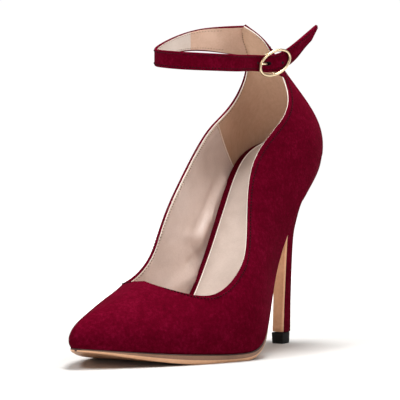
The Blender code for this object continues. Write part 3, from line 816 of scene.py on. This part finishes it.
def slab(back, front, inset, low, high, round_off, back_inset=0.0):
    """Rings of a sheet that lies along the bottom of the last, between two heights above it."""
    even = np.linspace(0, 1, SLAB_STATIONS)
    ease = 0.5 - 0.5 * np.cos(np.pi * even)
    rings = []
    for f in back + (front - back) * (0.7 * ease + 0.3 * even):
        lift_f, lift_z = slope_normal(f)
        narrow = inset + back_inset * np.clip((SEAT_FRONT - f) / SEAT_FADE, 0, 1)
        out_l = edge_at(f, "lateral", narrow)
        in_l = edge_at(f, "medial", narrow)
        edge = min(round_off, 0.4 * (out_l - in_l))
        low_in = SLAB_LOW_INWARD * edge
        side = [(inward * edge, low + up * (high - low)) for up, inward in SLAB_EDGE]
        outline = [(l, low) for l in np.linspace(in_l + low_in, out_l - low_in, SLAB_ACROSS)]
        outline += [(out_l - inward, up) for inward, up in side]
        outline += [(l, high) for l in np.linspace(out_l - edge, in_l + edge, SLAB_ACROSS)]
        outline += [(in_l + inward, up) for inward, up in side[::-1]]
        cup = CUP * np.clip((CUP_FROM - f) / (CUP_FROM - back), 0, 1) ** CUP_RISE
        ring = []
        for l, up in outline:
            up += cup * abs(2 * (l - in_l) / (out_l - in_l) - 1) ** CUP_ROUND
            ring.append((f + up * lift_f, l, bottom(f) + up * lift_z))
        rings.append(ring)
    return rings


def build_insole():
    rings = slab(INSOLE_BACK, INSOLE_FRONT, INSOLE_INSET, 0.0, INSOLE_THICK, INSOLE_ROUND)
    piece("insole_board", *tube(rings), [BOARD], "board", replaces=["insole"])
    low = INSOLE_THICK - SOCK_SUNK
    high = INSOLE_THICK + SOCK_THICK
    rings = slab(SOCK_BACK, SOCK_FRONT, SOCK_INSET, low, high, SOCK_ROUND, SOCK_BACK_INSET)

    def on_side(_, column):
        lateral = SLAB_ACROSS <= column < SLAB_ACROSS + len(SLAB_EDGE)
        return int(lateral or column >= 2 * SLAB_ACROSS + len(SLAB_EDGE) - 1)

    piece("sock", *tube(rings), [SOCK, CREAM], "board", ring_marks(rings, on_side, [1, 1]))


# Heel, top piece

Section = namedtuple("Section", "back_f back_z breast_f breast_z lateral medial seat")
HEEL = [
    Section(15.0, 6.8, 26.0, 6.8, 3.6, 3.6, 0.0),
    Section(14.5, 30.0, 24.8, 30.0, 3.8, 3.8, 0.0),
    Section(13.3, 58.0, 24.0, 55.0, 4.7, 4.7, 0.0),
    Section(11.0, 70.5, 25.0, 64.0, 6.2, 6.2, 0.0),
    Section(8.8, 79.0, 27.2, 71.0, 8.8, 8.7, 0.05),
    Section(5.8, 87.0, 31.0, 76.0, 12.8, 12.5, 0.15),
    Section(2.4, 96.0, 36.0, 79.5, 19.0, 18.4, 0.35),
    Section(0.2, 104.5, 40.5, 82.3, 25.2, 23.4, 0.65),
    Section(0.2, 111.9, 44.6, 85.6, 29.0, 25.8, 1.0),
]
ROUND_POWER = 2.3
HEEL_RINGS = 110
SEAT_GAP = 0.05
SEAT_IN = HEEL[-1].back_f
HEEL_ROUND = 36


def straight_section(row):
    """One D section, round at the back and flat at the breast."""
    angle = np.linspace(-np.pi / 2, np.pi / 2, 2 * HEEL_ROUND - 1)
    share = 1 - np.abs(np.cos(angle)) ** (2 / ROUND_POWER)
    wide = np.sign(np.sin(angle)) * np.abs(np.sin(angle)) ** (2 / ROUND_POWER)
    f = row.back_f + (row.breast_f - row.back_f) * share
    l = np.where(wide > 0, row.lateral, row.medial) * wide
    z = row.back_z + (row.breast_z - row.back_z) * share
    return f, l, z


def heel_ring(row):
    """A section that bends to the seat and spreads to its edges, by the row's share of seat."""
    f, l, z = straight_section(row)
    seat_f, seat_l, seat_z = straight_section(HEEL[-1])
    rim_l = np.where(l > 0, edge_at(seat_f, "lateral", SEAT_IN), edge_at(seat_f, "medial", SEAT_IN))
    _, lift_z = slope_normal(seat_f)
    rim_z = bottom(seat_f) - SEAT_GAP / lift_z
    return np.c_[f, l + row.seat * (rim_l - seat_l), z + row.seat * (rim_z - seat_z)]


def heel_rows(count):
    numbers = through(np.arange(len(HEEL)), np.array(HEEL, float))
    return [Section(*numbers([u])[0]) for u in np.linspace(0, len(HEEL) - 1, count)]


def build_heel():
    points, faces = tube([heel_ring(row) for row in heel_rows(HEEL_RINGS)])
    piece("heel_cover", points, faces, [SUEDE], "suede", replaces=["heel"])


TOP_INSET = 0.7
STRIP_THICK = 1.3
# Height of each ring of the top piece, and how far it is drawn in
TOP_RINGS = ((0.0, 0.75), (0.12, 0.42), (0.4, 0.26), (3.0, 0.12), (6.1, 0.0), (6.38, 0.08), (6.5, 0.3))


def build_top_piece():
    tip = HEEL[0]
    front = tip.breast_f + GAP + STRIP_THICK
    rings = []
    for z, draft in TOP_RINGS:
        row = tip._replace(
            back_f=tip.back_f + TOP_INSET + draft,
            breast_f=front - draft,
            back_z=z,
            breast_z=z,
            lateral=tip.lateral - draft,
            medial=tip.medial - draft,
        )
        rings.append(heel_ring(row))
    points, faces = tube(rings)
    piece("heel_top_piece", points, faces, [RUBBER], "top_lift", replaces=["top_piece"])


# Outsole: forepart, arch, and the strip down the breast of the heel

Tread = namedtuple("Tread", "f thick outset")
STRIP_INSET = 0.1
SEAT_INSET = 1.4
TREAD = [
    Tread(44, 1.4, -1.6),
    Tread(60, 1.7, -1.8),
    Tread(80, 2.2, -1.6),
    Tread(95, 2.0, -0.9),
    Tread(106, 2.5, 0.2),
    Tread(118, 3.8, 0.8),
    Tread(132, 4.2, 1.0),
    Tread(148, 4.6, 1.0),
    Tread(160, 4.4, 1.0),
    Tread(172, 3.7, 0.9),
    Tread(185, 2.5, 0.7),
    Tread(198, 1.3, 0.4),
    Tread(210, 0.9, 0.3),
]
TREAD_STATIONS = 190
# Width of the dark line of painted shade at the top of the sole's edge
FEATHER_WIDE = 0.55
# Rows at the toe tip whose side steps all take the painted shade line
TIP_ROWS = 12
ARCH_ROWS = 20
STRIP_STATIONS = 80
SHANK_END = 49.5
TOE_END = 205.45
BEVEL = 1.0
BEVEL_SHARE = 0.55
LIP = 0.25
LIP_STEPS = 2
SIDE_STEPS = 4
OUTER_POINTS = 9
UNDER_POINTS = 10
TOP_POINTS = 6
SUNK = 0.08
SOLE_LOOKS = [TAN, EDGE, FEATHER_SHADE]
ON_TAN, ON_EDGE, ON_SHADE_LINE = range(len(SOLE_LOOKS))
tread_at = through([row.f for row in TREAD], [(row.thick, row.outset) for row in TREAD])


def outsole_spine():
    """Side view points where the sole is bonded, with thickness and both edges at each."""
    ease = np.sin(np.linspace(0, np.pi / 2, TREAD_STATIONS)) ** 0.9
    rows = []
    for f in TOE_END + (SHANK_END - TOE_END) * (1 - ease[::-1]):
        thick, outset = tread_at([f])[0]
        lift_f, lift_z = slope_normal(f)
        lateral = edge_at(f, "lateral", -outset)
        medial = edge_at(f, "medial", -outset)
        rows.append((f + SUNK * lift_f, bottom(f) + SUNK * lift_z, thick + GAP + SUNK, lateral, medial))
    thick = STRIP_THICK + GAP + SUNK
    for row in heel_rows(STRIP_STATIONS)[::-1][1:]:
        inset = STRIP_INSET + SEAT_INSET * row.seat
        lateral = row.lateral - inset
        medial = inset - row.medial
        rows.append((row.breast_f - SUNK, row.breast_z + SUNK * row.seat, thick, lateral, medial))
    return np.array(rows, float)


def sole_section(thick, lateral, medial):
    """Points round the sole: shares of its thickness down, and places across."""
    bevel = min(BEVEL, 0.3 * thick)
    lip = min(LIP, 0.1 * thick)
    line = min(0.3, FEATHER_WIDE / thick)
    outer = [
        (0.0, -lip),
        (0.4 * line, -0.25 * lip),
        (line, 0.0),
        (0.38, 0.02),
        (BEVEL_SHARE, 0.0),
        (BEVEL_SHARE + 0.07, -0.12 * bevel),
        (0.80, -0.5 * bevel),
        (0.94, -0.82 * bevel),
        (1.0, -1.15 * bevel),
    ]
    ring = [(share, lateral + step) for share, step in outer]
    ring += [(1.0, l) for l in np.linspace(lateral - 1.6 * bevel, medial + 1.6 * bevel, UNDER_POINTS)]
    ring += [(share, medial - step) for share, step in outer[::-1]]
    ring += [(0.0, l) for l in np.linspace(medial + 2 * lip, lateral - 2 * lip, TOP_POINTS)]
    return ring


def sole_face(row, column):
    """What shows at a row from the toe and a column round the sole's section; the top steps of the edge,
    and all the side steps in the rows at the toe tip, show a dark line of painted shade where the sole
    meets the upper.
    """
    from_top = min(column, 2 * OUTER_POINTS + UNDER_POINTS - 2 - column)
    if row >= TREAD_STATIONS - ARCH_ROWS or from_top >= SIDE_STEPS:
        return ON_TAN
    return ON_SHADE_LINE if from_top < LIP_STEPS or row < TIP_ROWS else ON_EDGE


def build_outsole():
    rows = outsole_spine()
    along = unit(np.gradient(rows[:, :2], axis=0))
    down = np.c_[-along[:, 1], along[:, 0]]
    rings = []
    for (f, z, thick, lateral, medial), (down_f, down_z) in zip(rows, down):
        section = sole_section(thick, lateral, medial)
        rings.append([(f + s * thick * down_f, l, max(z + s * thick * down_z, 0.0)) for s, l in section])
    # The toe's end cap takes the painted shade line too
    marks = ring_marks(rings, sole_face, [ON_SHADE_LINE, ON_TAN])
    piece("outsole_leather", *tube(rings), SOLE_LOOKS, "sole_leather", marks, ["outsole"])


# Ankle strap

Station = namedtuple("Station", "name f l z up_f up_l up_z")
STRAP_THICK = 1.8
STRAP_HALF = 4.5
STRAP_STEPS = 26
STRAP_ROUND = 0.36
STRAP_FLAT = 15
STRAP_BEND = 7
BUCKLE = np.array([69.7, 23.9, 156.9])
HEADING = np.radians(24)
CLIMB = np.radians(8)
SWING = np.radians(20)
TAIL_SLANT = 7.0
TAIL_BLUNT = 0.35
TAIL_ROUND = (0.75, 0.4)
TAIL_CREASE = 0.6
TAIL_CREASE_LONG = 24.0
TAIL_CREASE_WIDE = 0.24
TAIL_CREASE_FADE = 0.4
ROOT_GAP = -0.1
ROOT_FADE = 18.0
ROOT_POINTS = 33
LINING_CHANGE_F = 77.0


def axes(climb):
    """Directions at the buckle: along to the tail, across to the top edge, and outward."""
    level = np.array([np.cos(HEADING), -np.sin(HEADING), 0.0])
    tall = np.array([0.0, 0.0, 1.0])
    face = np.array([np.sin(HEADING), np.cos(HEADING), 0.0])
    tail = np.sin(climb) * tall - np.cos(climb) * level
    across = np.cos(climb) * tall + np.sin(climb) * level
    return tail, across, face


STRAP_TAIL, STRAP_ACROSS, FACE = axes(CLIMB)
TAIL, ACROSS, _ = axes(CLIMB + SWING)


def at_strap(along, across=0.0, out=0.0):
    """A point by its steps from the buckle's middle: to the tail, to the strap's top edge, outward."""
    return BUCKLE + along * STRAP_TAIL + across * STRAP_ACROSS + out * FACE


def at_buckle(along, across=0.0, out=0.0):
    """The same along the ring's own axes, which swing up from the strap's."""
    return BUCKLE + along * TAIL + across * ACROSS + out * FACE


def buckle_station(name, along, across, turn, half):
    """A strap station under the ring, turned in its plane."""
    turn = np.radians(turn)
    up = np.cos(turn) * STRAP_ACROSS - np.sin(turn) * STRAP_TAIL
    return Station(name, *at_strap(along, across), *(half * up))


def neck_edge(side, near, far, count):
    """Points up a stretch of the high back's edge, half a wall in, with directions outward and off it."""
    where = np.linspace(far, near, count)
    t = where if side == "lateral" else 2 * TIP - where
    step = 0.02
    share = np.ones(count)
    here = straight_up(t, share)
    along = unit(straight_up(t + step, share) - straight_up(t - step, share))
    off = here - ribs(t, topline(t)[:, None] - step)[:, 0]
    off = unit(off - (off * along).sum(axis=1)[:, None] * along)
    out = np.cross(off, along)
    return here - WALL / 2 * out, out, off


root_row, root_out, root_off = neck_edge("medial", *ROOT_T, ROOT_POINTS)
root_row = root_row + ROOT_GAP * root_off

STRAP = [
    Station("root", *(root_row[0] + root_row[-1]) / 2, *(root_row[-1] - root_row[0]) / 2),
    Station("medial back", 68.5, -21.8, 172.2, 1.0, 0.4, 6.4),
    Station("medial", 92.0, -28.0, 167.1, 0.0, 0.0, 4.6),
    Station("medial front", 110.5, -25.0, 160.3, 0.0, 0.0, 4.7),
    Station("front medial", 121.5, -12.5, 157.3, 0.0, 0.0, 4.7),
    Station("front", 123.0, 3.0, 155.5, 0.0, 0.0, 4.7),
    Station("front lateral", 114.0, 15.5, 154.8, 0.0, 0.0, 4.6),
    Station("lateral", 97.0, 21.0, 155.2, 0.0, 0.0, 4.5),
    buckle_station("before buckle", -10.0, 0.9, -6.0, STRAP_HALF),
    buckle_station("buckle", 0.0, -0.1, 2.0, 4.7),
    buckle_station("past buckle", 9.0, 2.0, 25.0, 4.3),
    Station("tail", 49.5, 30.0, 168.7, 3.1, 1.2, 2.7),
    Station("tail end", 36.7, 32.0, 177.6, 2.6, 1.2, 2.1),
]


def strap_rows():
    """Length gone, middle, half width, outward and onward direction of the strap, step by step."""
    knots = np.array([row[1:] for row in STRAP], float)
    length = run_length(knots[:, :3])
    curve = through(length, knots)
    where = np.concatenate(
        [np.linspace(a, b, STRAP_STEPS, endpoint=False) for a, b in zip(length[:-1], length[1:])]
        + [length[-1:]]
    )
    rows = curve(where)
    along = (curve(where + 0.05) - curve(where - 0.05))[:, :3]
    out = unit(np.cross(along, rows[:, 3:]))
    return where, rows[:, :3], rows[:, 3:], out * np.sign(out[-1] @ FACE), along


strap_where, strap_middle, strap_up, strap_out, strap_along = strap_rows()
to_end = strap_where - strap_where[-1]
strap_slant = np.clip(to_end / TAIL_SLANT + 1, 0, 1)
strap_fade = np.clip(1 - strap_where / ROOT_FADE, 0, 1) ** 2
strap_crease = TAIL_CREASE * np.clip((to_end / TAIL_CREASE_LONG + 1) / TAIL_CREASE_FADE, 0, 1)
root_wide = np.linspace(-1, 1, ROOT_POINTS)
root_bow = root_row - (strap_middle[0] + root_wide[:, None] * strap_up[0])


def on_strap(k, wide, high):
    """Points of strap row k at shares wide across and high through its thickness, -1 to 1."""
    wide = np.asarray(wide, float)
    raised = wide + (1 - TAIL_BLUNT) * strap_slant[k] * (1 - wide)
    near = strap_fade[k]
    bow = between(wide, root_wide, root_bow)
    tilt = between(wide, root_wide, root_out)
    face = STRAP_THICK / 2 * unit((1 - near) * strap_out[k] + near * tilt)
    high = np.asarray(high, float)
    dent = strap_crease[k] * np.exp(-((wide / TAIL_CREASE_WIDE) ** 2)) * (high > 0)
    high = high - dent / (STRAP_THICK / 2)
    return strap_middle[k] + raised[:, None] * strap_up[k] + near * bow + high[:, None] * face


def strap_section(half):
    """Across and through shares of the rounded section, from the low edge over the outside and back."""
    bend = np.linspace(0, np.pi, STRAP_BEND + 2)[1:-1]
    inset = STRAP_ROUND * STRAP_THICK / half
    flat = np.linspace(-1 + inset, 1 - inset, STRAP_FLAT)
    edge = 1 - inset + inset * np.sin(bend)
    wide = np.concatenate([flat, edge, flat[::-1], -edge])
    high = np.concatenate([0 * flat + 1, np.cos(bend), 0 * flat - 1, -np.cos(bend)])
    return wide, high


Oval = namedtuple("Oval", "along long short")
HoleRing = namedtuple("HoleRing", "grow out")
PRONG_HOLE = Oval(-3.9, 2.2, 1.1)
PRONG_HOLE_SIDES = 24
PRONG_HOLE_DEEP = 0.46 * STRAP_THICK
PRONG_HOLE_WALL = [
    HoleRing(1.0, -PRONG_HOLE_DEEP),
    HoleRing(1.0, PRONG_HOLE_DEEP),
    HoleRing(0.94, PRONG_HOLE_DEEP),
    HoleRing(0.94, -0.8 * PRONG_HOLE_DEEP),
]


def prong_oval(grow, out):
    """A ring of the slot that the prong goes through."""
    long = grow * PRONG_HOLE.long
    short = grow * PRONG_HOLE.short
    turn = circle(PRONG_HOLE_SIDES)
    return [at_strap(PRONG_HOLE.along + long * np.cos(a), short * np.sin(a), out) for a in turn]


def build_strap():
    rings = []
    for k in range(len(strap_where)):
        half = np.linalg.norm(strap_up[k]) * (1 - (1 - TAIL_BLUNT) * strap_slant[k])
        wide, high = strap_section(half)
        rings.append(on_strap(k, wide, high))
    for share in TAIL_ROUND:
        end = on_strap(-1, wide * (0.92 + 0.08 * share), high * share)
        rings.append(end + (1 - share) * 0.5 * strap_along[-1])
    change = int(np.argmax(strap_middle[:, 0] > LINING_CHANGE_F))

    def lining(row, column):
        if not STRAP_FLAT + STRAP_BEND <= column < 2 * STRAP_FLAT + STRAP_BEND - 1:
            return 0
        return 1 if row >= change else 2

    looks = [SUEDE, PALE, STRAP_TAN]
    made = piece("strap", *tube(rings), looks, "suede", ring_marks(rings, lining, [0, 0]), ["ankle_strap"])
    carve(made, "prong_hole", *tube([prong_oval(1.0, out) for out in (-STRAP_THICK, STRAP_THICK)]))
    # The slot's wall is a sheet of painted shade
    piece("prong_hole_shade_wall", *tube([prong_oval(*row) for row in PRONG_HOLE_WALL]), [HOLE_SHADE], "suede")


SPARE_HOLES = ((5.2, -1.3), (-11.0, 0.0))
HOLE_CLIMB = 0.2
HOLE_LONG = 0.95
HOLE_SHORT = 0.8
HOLE_SIDES = 28
HOLE_RIM = [HoleRing(1.35, 0.02), HoleRing(1.2, 0.14), HoleRing(1.05, 0.12), HoleRing(0.95, 0.02)]


def build_holes():
    """Spare punched holes: ovals of painted shade sunk in a pressed rim."""
    turn = circle(HOLE_SIDES)[:, None]
    for number, (along, across) in enumerate(SPARE_HOLES):
        k = int(np.argmin(np.linalg.norm(strap_middle - at_strap(along, HOLE_CLIMB * along), axis=1)))
        out = strap_out[k]
        up = unit(strap_up[k])
        centre = strap_middle[k] + across * up + STRAP_THICK / 2 * out
        oval = HOLE_LONG * np.cos(turn) * unit(strap_along[k]) + HOLE_SHORT * np.sin(turn) * up
        points, faces = tube([centre + row.grow * oval + row.out * out for row in HOLE_RIM], caps=False)
        # The cap across each hole is painted shade
        marks = [0] * len(faces) + [1]
        faces.append(tuple(range(len(points) - HOLE_SIDES, len(points))))
        piece(f"spare_hole_{number}", points, faces, [SUEDE, HOLE_SHADE], "suede", marks)


STRAP_STITCH = Stitch(1.75, 1.0, 0.24)
STRAP_LINING_STITCH = Stitch(1.75, 1.1, 0.13)
STITCH_ACROSS = 0.72
STITCHED = np.arange(14, len(strap_where) - 12)


def build_strap_stitches():
    for edge, wide in (("top", STITCH_ACROSS), ("low", -STITCH_ACROSS)):
        for name, side, stitch, pit_shaded_thread in (
            ("strap_stitches_", 1.0, STRAP_STITCH, PIT_SHADED_THREAD),
            ("strap_lining_stitches_", -1.0, STRAP_LINING_STITCH, PIT_SHADED_LINING_THREAD),
        ):
            path = [on_strap(k, [wide], [side])[0] for k in STITCHED]
            stitches(name + edge, path, side * strap_out[STITCHED], stitch, pit_shaded_thread)


# Buckle: oval ring, set-back bar, prong

FRAME_LONG = 10.4
FRAME_SHORT = 5.9
FRAME_WIRE = 0.8
RING_STEPS = 120
RING_SIDES = 24
# Cosine past which the wire faces in or out of the ring and not to its front, and takes the painted shade
RING_SIDE = 0.72
FRAME_OUT = STRAP_THICK / 2 + GAP + FRAME_WIRE
BAR_OUT = -3.5
BAR_WIRE = 0.7
BAR_CORNER = 1.6
BAR_SIDES = 16
PRONG_WIRE = 0.6
PRONG_SIDES = 16
PRONG_LOOP = BAR_WIRE + 1.5 * GAP + PRONG_WIRE
PRONG_CURL = np.radians(np.linspace(440, 180, 30))
# Steps back from the prong's end, and its share of the wire's radius there
PRONG_TIP = ((0, 2, 13), (0.45, 0.82, 1.0))

Bend = namedtuple("Bend", "along out")
PRONG = [
    Bend(-2.3, -2.4),
    Bend(-3.6, -0.9),
    Bend(-5.0, 0.9),
    Bend(-6.2, 2.3),
    Bend(-7.7, 3.3),
    Bend(-10.2, 3.9),
]


def build_ring():
    """The oval ring, with painted shade on its inner and outer sides, and the bar set back behind it."""
    turn = circle(RING_STEPS)
    oval = [at_buckle(FRAME_LONG * np.cos(a), FRAME_SHORT * np.sin(a), FRAME_OUT) for a in turn]
    points, faces = tube(wire(oval, FRAME_WIRE, RING_SIDES, closed=True, hint=FACE), closed=True)
    round_wire = circle(RING_SIDES) + np.pi / RING_SIDES
    marks = (np.abs(np.cos(round_wire)) > RING_SIDE).astype(int).tolist() * RING_STEPS
    leg = [(FRAME_SHORT, out) for out in np.linspace(FRAME_OUT, BAR_OUT + BAR_CORNER, 8)[:-1]]
    for a in np.linspace(0, np.pi / 2, 7):
        leg.append((FRAME_SHORT - BAR_CORNER * (1 - np.cos(a)), BAR_OUT + BAR_CORNER * (1 - np.sin(a))))
    path = leg + [(-across, out) for across, out in leg[::-1]]
    more, quads = tube(wire([at_buckle(0, *row) for row in path], BAR_WIRE, BAR_SIDES, hint=TAIL))
    faces += [tuple(v + len(points) for v in quad) for quad in quads]
    marks += [0] * len(quads)
    looks = [GOLD, GOLD_PAINTED_SHADE]
    piece("buckle_ring", np.vstack([points, more]), faces, looks, "gold", marks, ["buckle_frame"])


def build_prong():
    """The prong: curled round the bar, up through the strap, with painted shade where it is in its hole."""
    curl = [(PRONG_LOOP * np.cos(a), BAR_OUT + PRONG_LOOP * np.sin(a)) for a in PRONG_CURL]
    shank = through(range(len(PRONG) + 1), curl[-1:] + [tuple(row) for row in PRONG])
    path = np.vstack([curl, shank(np.linspace(0, len(PRONG), 40)[1:])])
    taper = np.interp(np.arange(len(path))[::-1], *PRONG_TIP)
    rings = wire([at_strap(a, 0, o) for a, o in path], PRONG_WIRE, PRONG_SIDES, taper=taper, hint=ACROSS)
    points, faces = tube(rings)
    # Painted shade on the stretch of prong inside the strap's hole
    in_hole = (path[:-1, 1] < STRAP_THICK / 2) & (np.arange(len(path) - 1) > len(curl))
    marks = np.repeat(in_hole, PRONG_SIDES).astype(int).tolist() + [0, 0]
    piece("prong", points, faces, [GOLD, HOLE_SHADE], "gold", marks, ["buckle_prong"])


# Buckle tab: from the lateral edge of the high back, hooked round the bar

TAB_THICK = 0.9
TAB_HALF = 3.7
TAB_LOOP = BAR_WIRE + GAP + TAB_THICK / 2
TAB_EDGE_T = (1.20, 1.72)
TAB_CURL_FROM = np.radians(20)
NECK_GAP = -0.1
# Slot for the prong's curl: half its width across, and its corners along and out
SLOT_HALF = 1.25
SLOT_CORNERS = ((-4.0, -7.0), (2.2, -7.0), (2.2, -1.0), (-4.0, -1.0))


def build_tab():
    edge, _, _ = neck_edge("lateral", *TAB_EDGE_T, 2)
    neck = edge.mean(axis=0)
    neck_half = (edge[1] - edge[0]) / 2
    bar = at_buckle(0, 0, BAR_OUT)
    pull = neck - bar
    lean = np.arctan2(pull @ FACE, pull @ TAIL)
    path = []
    for a in np.linspace(TAB_CURL_FROM, 2 * np.pi + lean - np.pi / 2, 40):
        step = np.cos(a) * TAIL + np.sin(a) * FACE
        path.append((bar + TAB_LOOP * step, TAB_HALF * ACROSS, step))
    leave, half, outer = path[-1]
    way = unit(neck - leave)
    reach = np.linalg.norm(neck - leave) - NECK_GAP
    for share in np.linspace(0, 1, 26)[1:]:
        turned = half + (neck_half - half) * share
        face = unit(np.cross(way, turned))
        path.append((leave + way * reach * share, turned, face * np.sign(face @ outer)))
    rings = []
    for p, half, face in path:
        wide, high = strap_section(np.linalg.norm(half))
        rings.append(p + wide[:, None] * half + high[:, None] * TAB_THICK / 2 * face)
    made = piece("tab", *tube(rings), [SUEDE], "suede", replaces=["buckle_tab"])
    slot = [[at_strap(a, across, o) for a, o in SLOT_CORNERS] for across in (-SLOT_HALF, SLOT_HALF)]
    carve(made, "tab_slot", *tube(slot))


build_upper()
build_seams()
build_topline_stitches()
build_insole()
build_heel()
build_top_piece()
build_outsole()
build_strap()
build_holes()
build_strap_stitches()
build_ring()
build_prong()
build_tab()


# Stage: floor, light, camera

AIM = Vector((0.0, 0.040, 0.0824))
VIEW_TURN = np.radians(34.76)
VIEW_FAR = 0.8884
LENS = 149.49
SENSOR = 36.0
NEAREST = 0.05
# Height in the sky and its grey there
SKY_FALL = ((0.125, 1.0), (0.20, 0.20))
SKY_GLOW = 1.02
FLOOR_HALF = 6.0
FLOOR_NEAR = 0.10
FLOOR_FAR = 0.60
FLOOR_GREYS = ((0.3, (0.545, 0.54, 0.535)), (0.7, (0.565, 0.56, 0.555)))

Lamp = namedtuple("Lamp", "name at aim size power colour")
LAMPS = [
    Lamp("overhead", (0.02, 0.18, 1.08), (0, 0.02, 0.08), 0.45, 16.5, (1.0, 0.99, 0.97)),
    Lamp("front_top", (-0.20, -0.80, 1.05), (0, 0.0, 0.08), 0.45, 8.6, (1.0, 0.99, 0.98)),
    Lamp("right", (0.75, -0.05, 1.00), (0, 0.06, 0.08), 0.30, 4.6, (1.0, 0.98, 0.96)),
]


def build_floor():
    """A pale floor that glows white away from the shoe."""
    mesh = bpy.data.meshes.new("floor")
    corners = ((-1, -1), (1, -1), (1, 1), (-1, 1))
    mesh.from_pydata([(x * FLOOR_HALF, y * FLOOR_HALF, 0) for x, y in corners], [], [(0, 1, 2, 3)])
    g = Graph("floor")
    g.link(g.ramp(g.noise(3, 2), *FLOOR_GREYS), "Base Color")
    g.set(Roughness=0.9, Specular_IOR_Level=0.05, Emission_Color=(1.0, 1.0, 1.0))
    apart = g.node("VectorMath", [(0, g.where)])
    apart.operation = "LENGTH"
    glow = g.node("MapRange", [("Value", apart.outputs["Value"])], From_Min=FLOOR_NEAR, From_Max=FLOOR_FAR)
    glow.interpolation_type = "SMOOTHSTEP"
    g.link(glow.outputs["Result"], "Emission Strength")
    mesh.materials.append(g.material)
    floor = new_object("floor", mesh)


def build_world():
    """A studio that is white low down and grey above."""
    world = bpy.context.scene.world or bpy.data.worlds.new("studio")
    bpy.context.scene.world = world
    world.use_nodes = True
    nodes = world.node_tree.nodes
    links = world.node_tree.links
    split = nodes.new("ShaderNodeSeparateXYZ")
    links.new(nodes.new("ShaderNodeTexCoord").outputs["Generated"], split.inputs[0])
    fall = nodes.new("ShaderNodeValToRGB")
    for element, (at, grey) in zip(fall.color_ramp.elements, SKY_FALL):
        element.position = at
        element.color = (grey, grey, grey, 1.0)
    links.new(split.outputs["Z"], fall.inputs["Fac"])
    links.new(fall.outputs["Color"], nodes["Background"].inputs["Color"])
    nodes["Background"].inputs["Strength"].default_value = SKY_GLOW


def turn_to(made, target):
    """Turns a lamp or the camera to a point."""
    made.rotation_euler = (Vector(target) - made.location).to_track_quat("-Z", "Y").to_euler()


def build_lamps():
    for row in LAMPS:
        data = bpy.data.lights.new(row.name, "AREA")
        data.shape = "DISK"
        data.size = row.size
        data.energy = row.power
        data.color = row.colour
        lamp = new_object(row.name, data)
        lamp.location = row.at
        turn_to(lamp, row.aim)


def build_camera():
    data = bpy.data.cameras.new("camera")
    data.lens = LENS
    data.sensor_width = SENSOR
    data.clip_start = NEAREST
    camera = new_object("camera", data)
    camera.location = AIM + VIEW_FAR * Vector((np.sin(VIEW_TURN), -np.cos(VIEW_TURN), 0.0))
    turn_to(camera, AIM)
    bpy.context.scene.camera = camera
    bpy.context.scene.view_settings.view_transform = "Standard"


build_floor()
build_world()
build_lamps()
build_camera()
